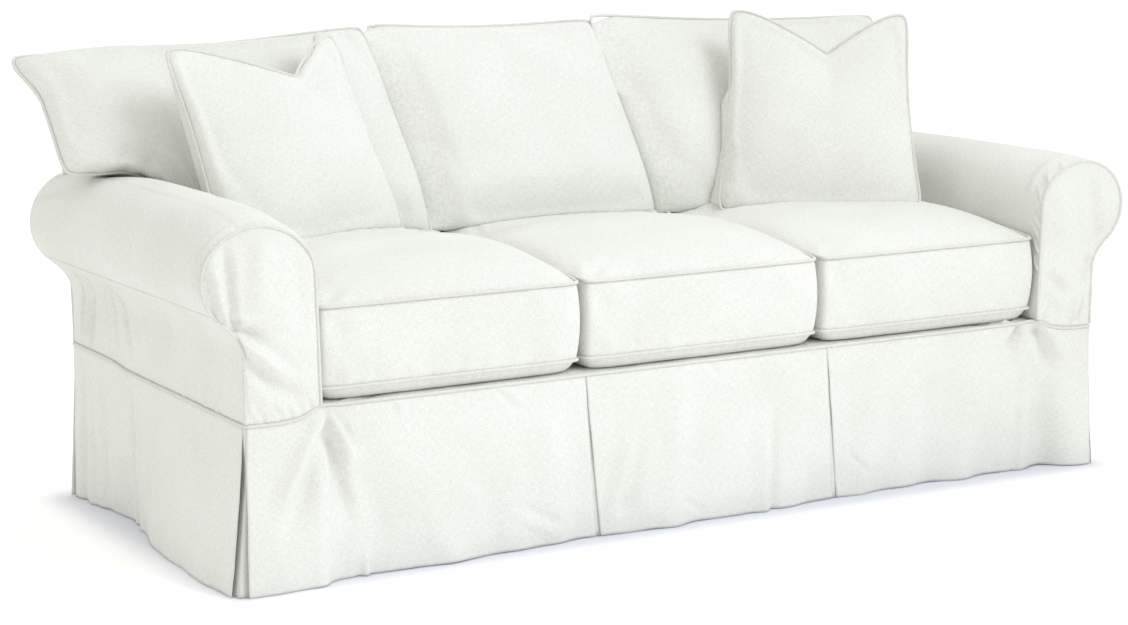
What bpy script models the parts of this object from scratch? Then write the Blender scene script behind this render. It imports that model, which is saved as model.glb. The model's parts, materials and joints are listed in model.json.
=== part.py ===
"""A loose slipcover for a three-seat, rolled-arm sofa, with its seat, back and pillow covers.

The cover is hollow and open below: the sofa that it fits is left out. Its boxed seat cushions, knife-edge
back cushions and throw pillows are filled solids. X runs along the seat, -Y is the front and +Z is up. The
origin is on the floor, under the middle of the cover.
"""

import math
from collections import namedtuple

import bmesh
import bpy
from mathutils import Matrix, Vector
from mathutils.bvhtree import BVHTree

# Cloth and sewing.
CLOTH = 0.002
WELT_R = 0.0033
WELT_SLOT = WELT_R + 0.0004  # from a welt's centre to the cloth edges on both sides of it
WELT_OFF = WELT_R + 0.0005  # from a cushion's edge to the centre of the welt that stands on it
CLEAR = 0.0006  # between two pieces that are sewn together
SEAT_GAP = 0.0003  # between a cushion and what carries it
SEWN_GAP = 0.0003  # between an underlay and the skirt, in the seam they share

# The left back cushion overhangs its arm, so the arms stand this far to the right of the whole's middle.
MIDDLE_X = 0.026

# The box that the skirt hangs from.
HALF_WIDTH = 1.0
HALF_DEPTH = 0.425
SKIRT_BACK_Z = 0.325
HEM_Z = 0.0005

# Deck and back of the frame.
DECK_Z = 0.333
ARM_FRONT_Y = -0.430
DECK_FRONT_Y = -0.418
BACK_FOOT_Y = 0.262
BACK_HEAD_Y = 0.360
BACK_HEAD_Z = 0.850
BACK_ROUND_R = 0.020
BACK_REAR_Y = 0.468
BACK_HEM = 0.004  # of the inside back, below its turn over the top of the back

# Scroll of the arm, for the right arm. The left one mirrors it.
ARM_INNER_X = 0.848
ARM_OUTER_X = 0.998
ROLL_X, ROLL_Z = 0.966, 0.572
ROLL_RX, ROLL_RZ = 0.111, 0.097
UNDER_SEAM_DEG = -38
NECK_START_DEG = -48
NECK_END_Z = 0.430
ARM_FRONT_CROWN = 0.006
ARM_FRONT_EASE = 0.0032  # more room beside the welt, for the flats between a curve's points

# One row for each place along an arm: how far its padding lifts the top of the roll above the front scroll.
Padding = namedtuple("Padding", "at rise")
ARM_PADDING = {
    -1: (
        Padding(-0.430, 0.000),
        Padding(-0.385, 0.018),
        Padding(-0.300, 0.028),
        Padding(-0.100, 0.030),
        Padding(0.140, 0.030),
        Padding(0.330, 0.020),
        Padding(0.430, 0.012),
    ),
    1: (
        Padding(-0.430, 0.000),
        Padding(-0.380, 0.007),
        Padding(-0.250, 0.011),
        Padding(0.100, 0.012),
        Padding(0.430, 0.012),
    ),
}
ARM_TOP_Z = ROLL_Z + ROLL_RZ + 0.018  # where the back cushions' side of the arm meets the inside back

# Seat cushions.
SEAT_CELL = 2 * (ARM_INNER_X - 0.0025) / 3
SEAT_FRONT_Y, SEAT_REAR_Y = -0.413, 0.250
SEAT_LOW_Z, SEAT_HIGH_Z = 0.361, 0.509
SEAT_CROWN, SEAT_SAG = 0.032, 0.027
# One row for each place down the sides of a seat cushion: how far its filling lifts the upper seam.
SEAT_LIFT = (
    Padding(-0.413, 0.000),
    Padding(-0.320, 0.006),
    Padding(-0.160, 0.015),
    Padding(0.000, 0.024),
    Padding(0.120, 0.027),
    Padding(0.250, 0.012),
)
SEAT_SIDE_INSET = 0.0070
SIDE_BULGE, FRONT_BULGE = 0.0058, 0.014

# One row for each height of the skirt seam along the front: x, seam height.
Seam = namedtuple("Seam", "at height")
FRONT_SEAM = (
    Seam(-1.000, 0.310),
    Seam(-0.940, 0.309),
    Seam(-0.890, 0.314),
    Seam(-0.850, 0.330),
    Seam(-0.800, 0.329),
    Seam(0.000, 0.329),
    Seam(0.800, 0.329),
    Seam(0.850, 0.331),
    Seam(0.890, 0.316),
    Seam(0.940, 0.309),
    Seam(1.000, 0.308),
)
# The same along each side: y, seam height.
SIDE_SEAM = (
    Seam(-0.430, 0.310),
    Seam(-0.300, 0.311),
    Seam(-0.150, 0.313),
    Seam(0.120, 0.316),
    Seam(0.220, 0.323),
    Seam(0.425, 0.325),
)

# One row for each fold of the skirt: place along the hem, how far the hem stands out from the seam line.
Fold = namedtuple("Fold", "at out")
FRONT_FOLDS = (
    Fold(-1.000, 0.028),
    Fold(-0.910, 0.027),
    Fold(-0.800, 0.008),
    Fold(-0.742, 0.006),
    Fold(-0.618, 0.011),
    Fold(-0.474, 0.007),
    Fold(-0.331, -0.009),
    Fold(-0.246, -0.010),
    Fold(-0.094, 0.002),
    Fold(-0.004, -0.008),
    Fold(0.168, -0.006),
    Fold(0.290, -0.018),
    Fold(0.464, -0.024),
    Fold(0.677, -0.020),
    Fold(0.860, -0.022),
    Fold(0.930, -0.010),
    Fold(1.000, 0.004),
)
LEFT_FOLDS = (
    Fold(-0.430, 0.036),
    Fold(-0.250, 0.039),
    Fold(-0.080, 0.026),
    Fold(0.080, -0.006),
    Fold(0.200, -0.026),
    Fold(0.300, -0.008),
    Fold(0.425, 0.002),
)
RIGHT_FOLDS = (
    Fold(-0.430, 0.014),
    Fold(-0.300, 0.022),
    Fold(-0.120, 0.004),
    Fold(0.060, 0.020),
    Fold(0.240, 0.002),
    Fold(0.425, 0.016),
)
BACK_FOLDS = (
    Fold(-1.000, 0.014),
    Fold(-0.840, 0.004),
    Fold(-0.600, 0.018),
    Fold(-0.400, 0.006),
    Fold(-0.282, 0.010),
    Fold(-0.060, 0.020),
    Fold(0.160, 0.004),
    Fold(0.282, 0.010),
    Fold(0.520, 0.004),
    Fold(0.720, 0.018),
    Fold(0.880, 0.006),
    Fold(1.000, 0.014),
)

# The same for the loose folds down each outside arm.
ARM_FOLDS = (
    Fold(-0.430, 0.000),
    Fold(-0.200, 0.001),
    Fold(-0.060, 0.005),
    Fold(0.020, 0.001),
    Fold(0.095, 0.010),
    Fold(0.165, 0.001),
    Fold(0.240, 0.012),
    Fold(0.310, 0.002),
    Fold(0.370, 0.010),
    Fold(0.425, 0.001),
)

# Kick pleats: half of the slit at the seam and at the hem, and the underlay behind it.
Slit = namedtuple("Slit", "top hem")
FLAT_SLIT = Slit(0.0010, 0.0035)
CORNER_SLIT = Slit(0.0050, -0.0090)
# One row for each pleat along the front or the back: x at the seam, x at the hem.
Pleat = namedtuple("Pleat", "seam hem")
FRONT_PLEATS = (Pleat(-0.279, -0.242), Pleat(0.298, 0.342))
BACK_PLEATS = (Pleat(-0.282, -0.282), Pleat(0.282, 0.282))
UNDERLAY_HALF = 0.070
UNDERLAY_BEHIND = 0.0045
CORNER_BEHIND = 0.0085
UNDERLAY_FREE = 1 / 3  # how far down it has come clear of the skirt

# Back cushions: the seam's corners, its step over the arm, and how far each face stands out.
Back = namedtuple("Back", "name columns low_left low_right high_left high_right ear_x ear_side front rear")
BACK_CUSHIONS = (
    Back(
        "left",
        12,
        Vector((-1.083, 0.140, 0.556)),
        Vector((-0.312, 0.135, 0.556)),
        Vector((-1.100, 0.376, 0.918)),
        Vector((-0.385, 0.315, 0.967)),
        0.870,
        -1,
        0.085,
        0.085,
    ),
    Back(
        "middle",
        10,
        Vector((-0.297, 0.135, 0.556)),
        Vector((0.258, 0.135, 0.556)),
        Vector((-0.366, 0.315, 0.964)),
        Vector((0.186, 0.315, 0.968)),
        0.0,
        0,
        0.088,
        0.085,
    ),
    Back(
        "right",
        10,
        Vector((0.273, 0.135, 0.556)),
        Vector((0.980, 0.140, 0.556)),
        Vector((0.206, 0.315, 0.974)),
        Vector((0.985, 0.345, 0.940)),
        0.850,
        1,
        0.085,
        0.085,
    ),
)
EAR_LIFT = 0.140
EAR_LEAN = 0.080
EAR_STEP = 0.050
EAR_REACH = 0.027

# Throw pillows: the seam's four corners, the place and depth of the chop between the upper ones, the crown,
# and how far the side that rests over an arm is tucked in below.
Pillow = namedtuple("Pillow", "name low_left low_right high_left high_right chop_at chop crown tuck")
TUCK_TOP = 0.34
PILLOWS = (
    Pillow(
        "left",
        Vector((-0.872, 0.000, 0.562)),
        Vector((-0.449, 0.078, 0.578)),
        Vector((-0.921, 0.150, 0.956)),
        Vector((-0.541, 0.220, 0.970)),
        8 / 11,
        0.080,
        0.062,
        0.045,
    ),
    Pillow(
        "right",
        Vector((0.354, 0.086, 0.550)),
        Vector((0.751, -0.136, 0.550)),
        Vector((0.461, 0.205, 0.966)),
        Vector((0.805, 0.005, 0.963)),
        6 / 11,
        0.086,
        0.066,
        0.0,
    ),
)
PILLOW_REAR = 0.75  # the side that leans on a back cushion is the flatter

Finish = namedtuple("Finish", "colour roughness")
COTTON = Finish((0.905, 0.905, 0.870, 1.0), 0.90)
WELTING = Finish((0.880, 0.880, 0.845, 1.0), 0.88)


def clear_scene():
    """Remove every object, so that only this cover is left."""
    for old in list(bpy.data.objects):
        bpy.data.objects.remove(old, do_unlink=True)


def eased(rows, at):
    """The second column of the rows at a place in their first, along a smooth curve through them."""
    if at <= rows[0][0]:
        return rows[0][1]
    for i in range(len(rows) - 1):
        x0, y0 = rows[i][:2]
        x1, y1 = rows[i + 1][:2]
        if at <= x1:
            before, after = rows[max(i - 1, 0)], rows[min(i + 2, len(rows) - 1)]
            slope0 = (y1 - before[1]) / (x1 - before[0])
            slope1 = (after[1] - y0) / (after[0] - x0)
            t, span = (at - x0) / (x1 - x0), x1 - x0
            return (
                y0 * (1 + 2 * t) * (1 - t) ** 2
                + slope0 * span * t * (1 - t) ** 2
                + y1 * t * t * (3 - 2 * t)
                - slope1 * span * t * t * (1 - t)
            )
    return rows[-1][1]


def mix(a, b, t):
    return a + (b - a) * t


def smooth(t):
    t = min(max(t, 0.0), 1.0)
    return t * t * (3 - 2 * t)


def hill(t, power):
    """1 in the middle of 0..1 and 0 at its ends, flat-topped for a high power."""
    return 1 - abs(2 * t - 1) ** power


def dress(thing, finish):
    """Give an object its own material."""
    surface = bpy.data.materials.new(thing.name + "_cloth")
    surface.use_nodes = True
    shader = surface.node_tree.nodes["Principled BSDF"]
    shader.inputs["Base Color"].default_value = finish.colour
    shader.inputs["Roughness"].default_value = finish.roughness
    shader.inputs["Metallic"].default_value = 0.0
    thing.data.materials.append(surface)


def add_mesh(name, shape, finish=COTTON):
    """Link a bmesh to the scene as one named, smooth object."""
    mesh = bpy.data.meshes.new(name)
    shape.to_mesh(mesh)
    shape.free()
    mesh.shade_smooth()
    thing = bpy.data.objects.new(name, mesh)
    bpy.context.scene.collection.objects.link(thing)
    dress(thing, finish)
    return thing


def cloth(name, columns, rows, place, outward):
    """A sheet of cloth: a grid laid by place(u, v), thickened away from its outward side."""
    shape = bmesh.new()
    bmesh.ops.create_grid(shape, x_segments=columns, y_segments=rows, size=0.5)
    for vert in shape.verts:
        vert.co = Vector(place(vert.co.x + 0.5, vert.co.y + 0.5))
    shape.normal_update()
    if sum(face.normal.dot(Vector(outward)) * face.calc_area() for face in shape.faces) < 0:
        bmesh.ops.reverse_faces(shape, faces=shape.faces)
    thing = add_mesh(name, shape)
    wall = thing.modifiers.new("cloth", "SOLIDIFY")
    wall.thickness = CLOTH
    wall.offset = -1
    return thing


def welt(name, points, closed=True):
    """A round self-covered cord along points."""
    data = bpy.data.curves.new(name, "CURVE")
    data.dimensions = "3D"
    data.bevel_depth = WELT_R
    data.bevel_resolution = 1
    data.use_fill_caps = True
    path = data.splines.new("POLY")
    path.points.add(len(points) - 1)
    for point, place in zip(path.points, points):
        point.co = (*place, 1)
    path.use_cyclic_u = closed
    thing = bpy.data.objects.new(name, data)
    bpy.context.scene.collection.objects.link(thing)
    dress(thing, WELTING)
    return thing


def resample(points, count):
    """count + 1 points, evenly spaced along a line of points."""
    lengths = [0.0]
    for a, b in zip(points, points[1:]):
        lengths.append(lengths[-1] + (b - a).length)
    found, k = [], 0
    for i in range(count + 1):
        want = lengths[-1] * i / count
        while k < len(points) - 2 and lengths[k + 1] < want:
            k += 1
        found.append(points[k].lerp(points[k + 1], (want - lengths[k]) / (lengths[k + 1] - lengths[k])))
    return found


# The arm's scroll, as points (x, z) from the inner foot over the roll to the outer foot.


def roll_point(degrees, rise=0.0):
    """A point of the roll: 0 is outwards and 90 is up. Padding lifts the upper half only."""
    angle = math.radians(degrees)
    tall = ROLL_RZ + rise * (math.sin(angle) > 0)
    return Vector((ROLL_X + ROLL_RX * math.cos(angle), ROLL_Z + tall * math.sin(angle)))


def scroll_inner(rise=0.0):
    """Inner wall and roll, down to the seam under the roll."""
    wall = [Vector((ARM_INNER_X, DECK_Z)).lerp(roll_point(180), t / 8) for t in range(8)]
    steps = 60
    return wall + [roll_point(mix(180, UNDER_SEAM_DEG, t / steps), rise) for t in range(steps + 1)]


def scroll_outer(foot):
    """From the seam under the roll, in at the neck and down to the skirt seam."""
    start, end = roll_point(NECK_START_DEG), Vector((ARM_OUTER_X, NECK_END_Z))
    heading = (start - roll_point(NECK_START_DEG + 1)).normalized()
    reach = (start - end).length * 0.4
    one, two = start + heading * reach, end + Vector((0, reach))
    bend = [
        start * (1 - t) ** 3 + one * 3 * t * (1 - t) ** 2 + two * 3 * t * t * (1 - t) + end * t**3
        for t in [i / 16 for i in range(17)]
    ]
    first = [roll_point(mix(UNDER_SEAM_DEG, NECK_START_DEG, t / 4)) for t in range(4)]
    return first + bend + [Vector((ARM_OUTER_X, foot))]


def inset_line(points, distance):
    """A line moved sideways, to the right of its heading."""
    moved = []
    for i, point in enumerate(points):
        heading = (points[min(i + 1, len(points) - 1)] - points[max(i - 1, 0)]).normalized()
        moved.append(point + Vector((heading.y, -heading.x)) * distance)
    return moved


def crossing(points, height):
    """The x at which a line of (x, z) points first passes a height."""
    for a, b in zip(points, points[1:]):
        if min(a.y, b.y) <= height <= max(a.y, b.y) and a.y != b.y:
            return mix(a.x, b.x, (height - a.y) / (b.y - a.y))
    return points[0].x if height < points[0].y else points[-1].x


def peak(points):
    """The place of the highest point of a line."""
    return max(range(len(points)), key=lambda i: points[i].y)


def arm_inner_x(height):
    """How far from the middle the arm's inner side stands at a height, near the back."""
    inner = scroll_inner(ARM_TOP_Z - ROLL_Z - ROLL_RZ)
    return crossing(inner[: peak(inner) + 1], height)


def arm_outer_x(height, side):
    """How far out the arm reaches at a height, at its rear end."""
    inner = scroll_inner(ARM_PADDING[side][-1].rise)
    return crossing(inner[peak(inner) :] + scroll_outer(FRONT_SEAM[0].height)[1:], height)


# The back's section, as points (y, z).


def back_face_y(height):
    return mix(BACK_FOOT_Y, BACK_HEAD_Y, (height - DECK_Z) / (BACK_HEAD_Z - DECK_Z))


def back_rear_y(height):
    return mix(HALF_DEPTH, BACK_REAR_Y, smooth((height - SKIRT_BACK_Z) / (BACK_HEAD_Z - SKIRT_BACK_Z)))


def back_section():
    """Up the inside of the back, over its top and to the seam with the outside back."""
    heights = [mix(DECK_Z + 0.0015, ARM_TOP_Z - 0.002, t / 6) for t in range(7)]
    heights += [ARM_TOP_Z + 0.006, mix(ARM_TOP_Z, BACK_HEAD_Z, 0.5), BACK_HEAD_Z]
    rise = [Vector((back_face_y(z), z)) for z in heights]
    over = []
    for middle, start in ((BACK_HEAD_Y + BACK_ROUND_R, 180), (BACK_REAR_Y - BACK_ROUND_R, 90)):
        for turn in range(4):
            angle = math.radians(start - 30 * turn)
            rise_z = BACK_HEAD_Z + BACK_HEM + BACK_ROUND_R * math.sin(angle)
            over.append(Vector((middle + BACK_ROUND_R * math.cos(angle), rise_z)))
    return rise + over + [Vector((BACK_REAR_Y, BACK_HEAD_Z))]


# Skirt.


def seam_stations(start, end):
    """Places along the front seam from start to end, close together where it dips below an arm."""
    arm = [mix(HALF_WIDTH, ARM_INNER_X - 0.02, t / 7) for t in range(1, 8)]
    seat = [mix(-0.770, 0.770, t / 18) for t in range(19)]
    places = [-x for x in arm] + seat + [x for x in reversed(arm)]
    return [start] + [x for x in places if start + 0.012 < x < end - 0.012] + [end]


def seam_front(x):
    """Where the skirt seam runs along the front."""
    step = smooth((abs(x) - 0.835) / 0.030)
    return Vector((x, mix(DECK_FRONT_Y, ARM_FRONT_Y, step), eased(FRONT_SEAM, x)))


def seam_side(y, side):
    return Vector((side * HALF_WIDTH, y, eased(SIDE_SEAM, y)))


def seam_back(x):
    return Vector((x, HALF_DEPTH, SKIRT_BACK_Z))


def hang(seam, out, outward, drop, behind=0.0):
    """A point of the skirt: drop is 0 at the seam and 1 at the hem."""
    top, foot = seam.z - WELT_SLOT, HEM_Z
    push = out * drop ** 1.25 - behind
    return Vector((seam.x + outward[0] * push, seam.y + outward[1] * push, mix(top, foot, drop)))


def front_skirt(x, drop, behind=0.0):
    return hang(seam_front(x), eased(FRONT_FOLDS, x), (0, -1), drop, behind)


def side_skirt(y, drop, side, behind=0.0):
    folds = LEFT_FOLDS if side < 0 else RIGHT_FOLDS
    return hang(seam_side(y, side), eased(folds, y), (side, 0), drop, behind)


def back_skirt(x, drop, behind=0.0):
    return hang(seam_back(x), eased(BACK_FOLDS, x), (0, 1), drop, behind)


def slit_edge(slit, drop):
    return mix(slit.top, slit.hem, drop)


def behind_skirt(full, drop):
    """How far inside the skirt an underlay hangs: sewn to it at the top, free of it lower down."""
    return mix(CLOTH + SEWN_GAP, full, smooth(drop / UNDERLAY_FREE))


def skirt_panels():
    """Three panels at the front and three at the back, and one at each end."""
    ends = Pleat(-HALF_WIDTH, -HALF_WIDTH), Pleat(HALF_WIDTH, HALF_WIDTH)
    slits = CORNER_SLIT, FLAT_SLIT, FLAT_SLIT, CORNER_SLIT
    rows = (("front", front_skirt, (0, -1, 0), FRONT_PLEATS), ("back", back_skirt, (0, 1, 0), BACK_PLEATS))
    for where, hung, outward, pleats in rows:
        edges = (ends[0], *pleats, ends[1])
        for i, name in enumerate(("left", "middle", "right")):
            first, last = edges[i], edges[i + 1]
            places = seam_stations(first.seam, last.seam)
            columns = len(places) - 1

            def place(u, v, i=i, first=first, last=last, hung=hung, places=places, columns=columns):
                drop = 1 - v
                low = mix(first.seam, first.hem, drop) + slit_edge(slits[i], drop)
                high = mix(last.seam, last.hem, drop) - slit_edge(slits[i + 1], drop)
                across = (places[round(u * columns)] - first.seam) / (last.seam - first.seam)
                return hung(mix(low, high, across), drop)

            cloth(f"skirt_{where}_{name}", columns, 3, place, outward)
    for name, side in (("left", -1), ("right", 1)):

        def hung_side(u, v, side=side):
            drop = 1 - v
            edge = slit_edge(CORNER_SLIT, drop)
            return side_skirt(mix(-HALF_DEPTH + edge, HALF_DEPTH - edge, u), drop, side)

        cloth(f"skirt_side_{name}", 11, 3, hung_side, (side, 0, 0))


def underlays():
    """The cloth that shows inside each kick pleat: flat behind a slit, folded round a corner."""
    rows = (("front", front_skirt, (0, -1, 0), FRONT_PLEATS), ("back", back_skirt, (0, 1, 0), BACK_PLEATS))
    for where, hung, outward, pleats in rows:
        for name, pleat in zip(("left", "right"), pleats):

            def flat(u, v, pleat=pleat, hung=hung):
                x = mix(pleat.seam, pleat.hem, 1 - v) + mix(-UNDERLAY_HALF, UNDERLAY_HALF, u)
                return hung(x, 1 - v, behind_skirt(UNDERLAY_BEHIND, 1 - v))

            cloth(f"underlay_{where}_{name}", 3, 3, flat, outward)
    for name, side in (("left", -1), ("right", 1)):
        for where, end in (("front", -1), ("rear", 1)):

            def folded(u, v, side=side, end=end):
                drop = 1 - v
                behind = behind_skirt(CORNER_BEHIND, drop)
                across = side * (HALF_WIDTH - CORNER_BEHIND)
                depth = end * (HALF_DEPTH - CORNER_BEHIND)
                along = front_skirt if end < 0 else back_skirt
                if u < 0.5:
                    x = mix(side * (HALF_WIDTH - UNDERLAY_HALF), across, u * 2)
                    point = along(x, drop, behind)
                else:
                    y = mix(depth, end * (HALF_DEPTH - UNDERLAY_HALF), u * 2 - 1)
                    point = side_skirt(y, drop, side, behind)
                return point

            cloth(f"underlay_{where}_corner_{name}", 6, 3, folded, (side, end, 0))


def skirt_welt():
    """One welt all the way round, in the seam that the skirt hangs from."""
    fronts = seam_stations(-HALF_WIDTH, HALF_WIDTH)[1:-1]
    sides = [mix(-HALF_DEPTH, HALF_DEPTH, t / 11) for t in range(1, 11)]
    corner = 0.004
    path = [seam_front(x) for x in (-HALF_WIDTH + corner, *fronts, HALF_WIDTH - corner)]
    path += [seam_side(y, 1) for y in (-HALF_DEPTH + corner, *sides, HALF_DEPTH - corner)]
    path += [seam_back(x) for x in (HALF_WIDTH - corner, *reversed(fronts[::4]), -HALF_WIDTH + corner)]
    path += [seam_side(y, -1) for y in (HALF_DEPTH - corner, *reversed(sides), -HALF_DEPTH + corner)]
    welt("skirt_welt", path)


# Fixed cover.


def deck():
    """The cloth under the seat cushions, with a lip that rolls down to the skirt seam."""
    half = ARM_INNER_X - CLEAR - 0.0004

    def place(u, v):
        y = mix(DECK_FRONT_Y + WELT_SLOT, BACK_FOOT_Y - CLEAR, v)
        lip = 0.0035 * (1 - smooth((y - DECK_FRONT_Y) / 0.03))
        return mix(-half, half, u), y, DECK_Z + 0.0005 - lip

    return cloth("deck", 6, 7, place, (0, 0, 1))


def inside_back():
    """T-shaped: between the arms below, as wide as the cover above them, and over the top of the back."""
    section = back_section()
    rows = len(section) - 1

    def place(u, v):
        y, z = section[round(v * rows)]
        above = smooth((z - ARM_TOP_Z) / 0.006)
        half = mix(arm_inner_x(min(z, ARM_TOP_Z - 0.002)) - 0.004, HALF_WIDTH - CLEAR, above)
        return mix(-half, half, u), y, z

    return cloth("inside_back", 6, rows, place, (0, -1, 0.4))


def outside_back():
    def place(u, v):
        z = mix(SKIRT_BACK_Z + WELT_SLOT, BACK_HEAD_Z - 2 * CLEAR, v)
        hollow = 0.006 * hill(u, 2) * hill(v, 2)
        half = HALF_WIDTH - CLEAR
        return mix(-half, half, u), back_rear_y(z) - hollow, z

    return cloth("outside_back", 8, 6, place, (0, 1, 0))


def back_gussets():
    """The two ends of the back, above the arms."""
    inset = CLOTH + 1.5 * CLEAR
    radius = BACK_ROUND_R - inset
    low, high = ARM_TOP_Z + 0.006, BACK_HEAD_Z + BACK_HEM + radius
    for name, side in (("left", -1), ("right", 1)):

        def place(u, v, side=side):
            z = mix(low, high, math.sin(v * math.pi / 2))
            above = min(max(z - BACK_HEAD_Z - BACK_HEM, 0.0), radius)
            turned = radius - math.sqrt(radius**2 - above**2)
            front = back_face_y(min(z, BACK_HEAD_Z)) + inset + turned
            rear = back_rear_y(min(z, BACK_HEAD_Z)) - inset - turned
            return side * HALF_WIDTH, mix(front, rear, u), z

        cloth(f"back_gusset_{name}", 2, 6, place, (side, 0, 0))


def arms():
    """Each arm: a panel over the roll, an outside panel, a front scroll with its welt, and a rear facing."""
    columns, rows = 18, 7
    for name, side in (("left", -1), ("right", 1)):

        def over_roll(u, v, side=side):
            column = round(u * columns)
            front = ARM_FRONT_Y + WELT_SLOT
            level = mix(front, HALF_DEPTH, v**1.5)
            inner = scroll_inner(eased(ARM_PADDING[side], level))
            inner[0] = Vector((ARM_INNER_X, DECK_Z + 0.0012))
            section = resample(inner, columns)
            x, z = section[column]
            rear = back_rear_y(z) - CLOTH - CLEAR
            if column <= peak(section) or x < HALF_WIDTH + CLEAR:
                rear = back_face_y(z) - 2 * CLEAR
            return side * x, mix(front, rear, v**1.5), z

        cloth(f"arm_{name}", columns, rows, over_roll, (0, 0, 1))

        def outside(u, v, side=side):
            y = mix(ARM_FRONT_Y + WELT_SLOT, HALF_DEPTH, v)
            line = scroll_outer(eased(SIDE_SEAM, y) + WELT_SLOT)
            line[0] = roll_point(UNDER_SEAM_DEG - 0.5)
            x, z = resample(line, 7)[round(u * 7)]
            pleated = eased(ARM_FOLDS, y) * hill(u, 2)
            rear = back_rear_y(z) - CLOTH - CLEAR
            return side * (x + pleated), mix(ARM_FRONT_Y + WELT_SLOT, rear, v), z

        cloth(f"outside_arm_{name}", 7, 12, outside, (side, 0, 0))
        arm_front(name, side)
        arm_rear(name, side)


def arm_front(name, side):
    """The flat scroll at the front of an arm, and the welt round it."""
    whole = scroll_inner() + scroll_outer(eased(SIDE_SEAM, ARM_FRONT_Y))[1:]
    line = inset_line(whole, WELT_SLOT + ARM_FRONT_EASE)
    inner, outer = line[: peak(line) + 1], line[peak(line) :]
    top = line[peak(line)].y - 0.0008
    foot = FRONT_SEAM[0].height

    def place(u, v):
        rise = math.sin(v * math.pi / 2)
        z = mix(foot, top, rise)
        for _ in range(3):
            x = mix(crossing(inner, z), crossing(outer, z), u)
            z = mix(eased(FRONT_SEAM, side * x) + WELT_SLOT + 2 * CLEAR, top, rise)
        crown = ARM_FRONT_CROWN * hill(u, 2) * hill(v, 2)
        return side * x, ARM_FRONT_Y - crown, z

    cloth(f"arm_front_{name}", 6, 12, place, (0, -1, 0))
    path = resample(whole, 42)
    low_inner = eased(FRONT_SEAM, side * path[0].x) + WELT_SLOT + WELT_R + 0.001
    low_outer = eased(SIDE_SEAM, ARM_FRONT_Y) + WELT_SLOT + WELT_R + 0.001
    path[0].y, path[-1].y = low_inner, low_outer
    welt(f"arm_welt_{name}", [Vector((side * p.x, ARM_FRONT_Y, p.y)) for p in path], closed=False)


def arm_rear(name, side):
    """The part of the roll's rear end that stands out past the outside back."""
    low, high = NECK_END_Z + 0.030, ROLL_Z + ROLL_RZ - 0.006

    def place(u, v):
        z = mix(low, high, v)
        return side * mix(HALF_WIDTH + CLEAR, arm_outer_x(z, side) - CLEAR, u), back_rear_y(z), z

    cloth(f"arm_rear_{name}", 2, 8, place, (0, 1, 0))


# Filled pieces.


def seat_cushion(name, middle):
    """A boxed cushion: crowned top, sagging underside, and boxing that bulges between its welts."""
    half = SEAT_CELL / 2 - SEAT_SIDE_INSET
    depth = SEAT_REAR_Y - SEAT_FRONT_Y
    count = 6
    shape = bmesh.new()
    bmesh.ops.create_cube(shape, size=1.0)
    bmesh.ops.subdivide_edges(shape, edges=shape.edges, cuts=count - 1, use_grid_fill=True)
    edges = {SEAT_HIGH_Z: {}, SEAT_LOW_Z: {}}
    for vert in shape.verts:
        u, v, w = vert.co.x + 0.5, vert.co.y + 0.5, vert.co.z + 0.5
        rim = max(abs(2 * u - 1), abs(2 * v - 1)) > 0.999
        cut = 0.012 * (abs(2 * u - 1) * abs(2 * v - 1)) ** 9
        x = middle + (u - 0.5) * 2 * (half - cut)
        y = SEAT_FRONT_Y + cut + v * (depth - 2 * cut)
        z = mix(SEAT_LOW_Z, SEAT_HIGH_Z + eased(SEAT_LIFT, y), w)
        dome = (hill(u, 2.6) * hill(v, 2.6)) ** 0.55
        if w > 0.999:
            z += SEAT_CROWN * dome
        elif w < 0.001:
            z = max(z - SEAT_SAG * 1.35 * dome, DECK_Z + 0.001)
        if rim:
            swell = hill(w, 2)
            x += swell * SIDE_BULGE * (2 * u - 1) ** 9
            y -= swell * FRONT_BULGE * max(0.0, 1 - 2 * v) ** 9
        if rim and (w > 0.999 or w < 0.001):
            edges[SEAT_HIGH_Z if w > 0.5 else SEAT_LOW_Z][(round(u * count), round(v * count))] = Vector((x, y, z))
        vert.co = (x, y, z)
    body = add_mesh(f"seat_cushion_{name}", shape)
    pieces = [body]
    loop = [(i, 0) for i in range(count)] + [(count, i) for i in range(count)]
    loop += [(count - i, count) for i in range(count)] + [(0, count - i) for i in range(count)]
    for place, height, lift in (("top", SEAT_HIGH_Z, 1), ("bottom", SEAT_LOW_Z, -1)):
        path = []
        for key in loop:
            point = edges[height][key]
            side = Vector(((key[0] == count) - (key[0] == 0), (key[1] == count) - (key[1] == 0), 0))
            path.append(point + (side + Vector((0, 0, lift))).normalized() * WELT_OFF * 1.06)
        pieces.append(welt(f"seat_welt_{place}_{name}", path))
    return pieces


def filled(name, columns, rows, seam, faces):
    """A knife-edge cushion. seam(u, v) lays the sheet that its seam lies in, and faces(u, v) gives the way
    and distance that its front and its rear stand out from that sheet, both 0 at the seam."""
    shape = bmesh.new()
    for face in (0, 1):
        made = bmesh.ops.create_grid(shape, x_segments=columns, y_segments=rows, size=0.5)
        for vert in made["verts"]:
            u, v = vert.co.x + 0.5, vert.co.y + 0.5
            vert.co = seam(u, v) + faces(u, v)[face]
    bmesh.ops.remove_doubles(shape, verts=shape.verts, dist=0.00001)
    bmesh.ops.recalc_face_normals(shape, faces=shape.faces)
    if shape.calc_volume(signed=True) < 0:
        bmesh.ops.reverse_faces(shape, faces=shape.faces)
    return add_mesh(name, shape)


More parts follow.
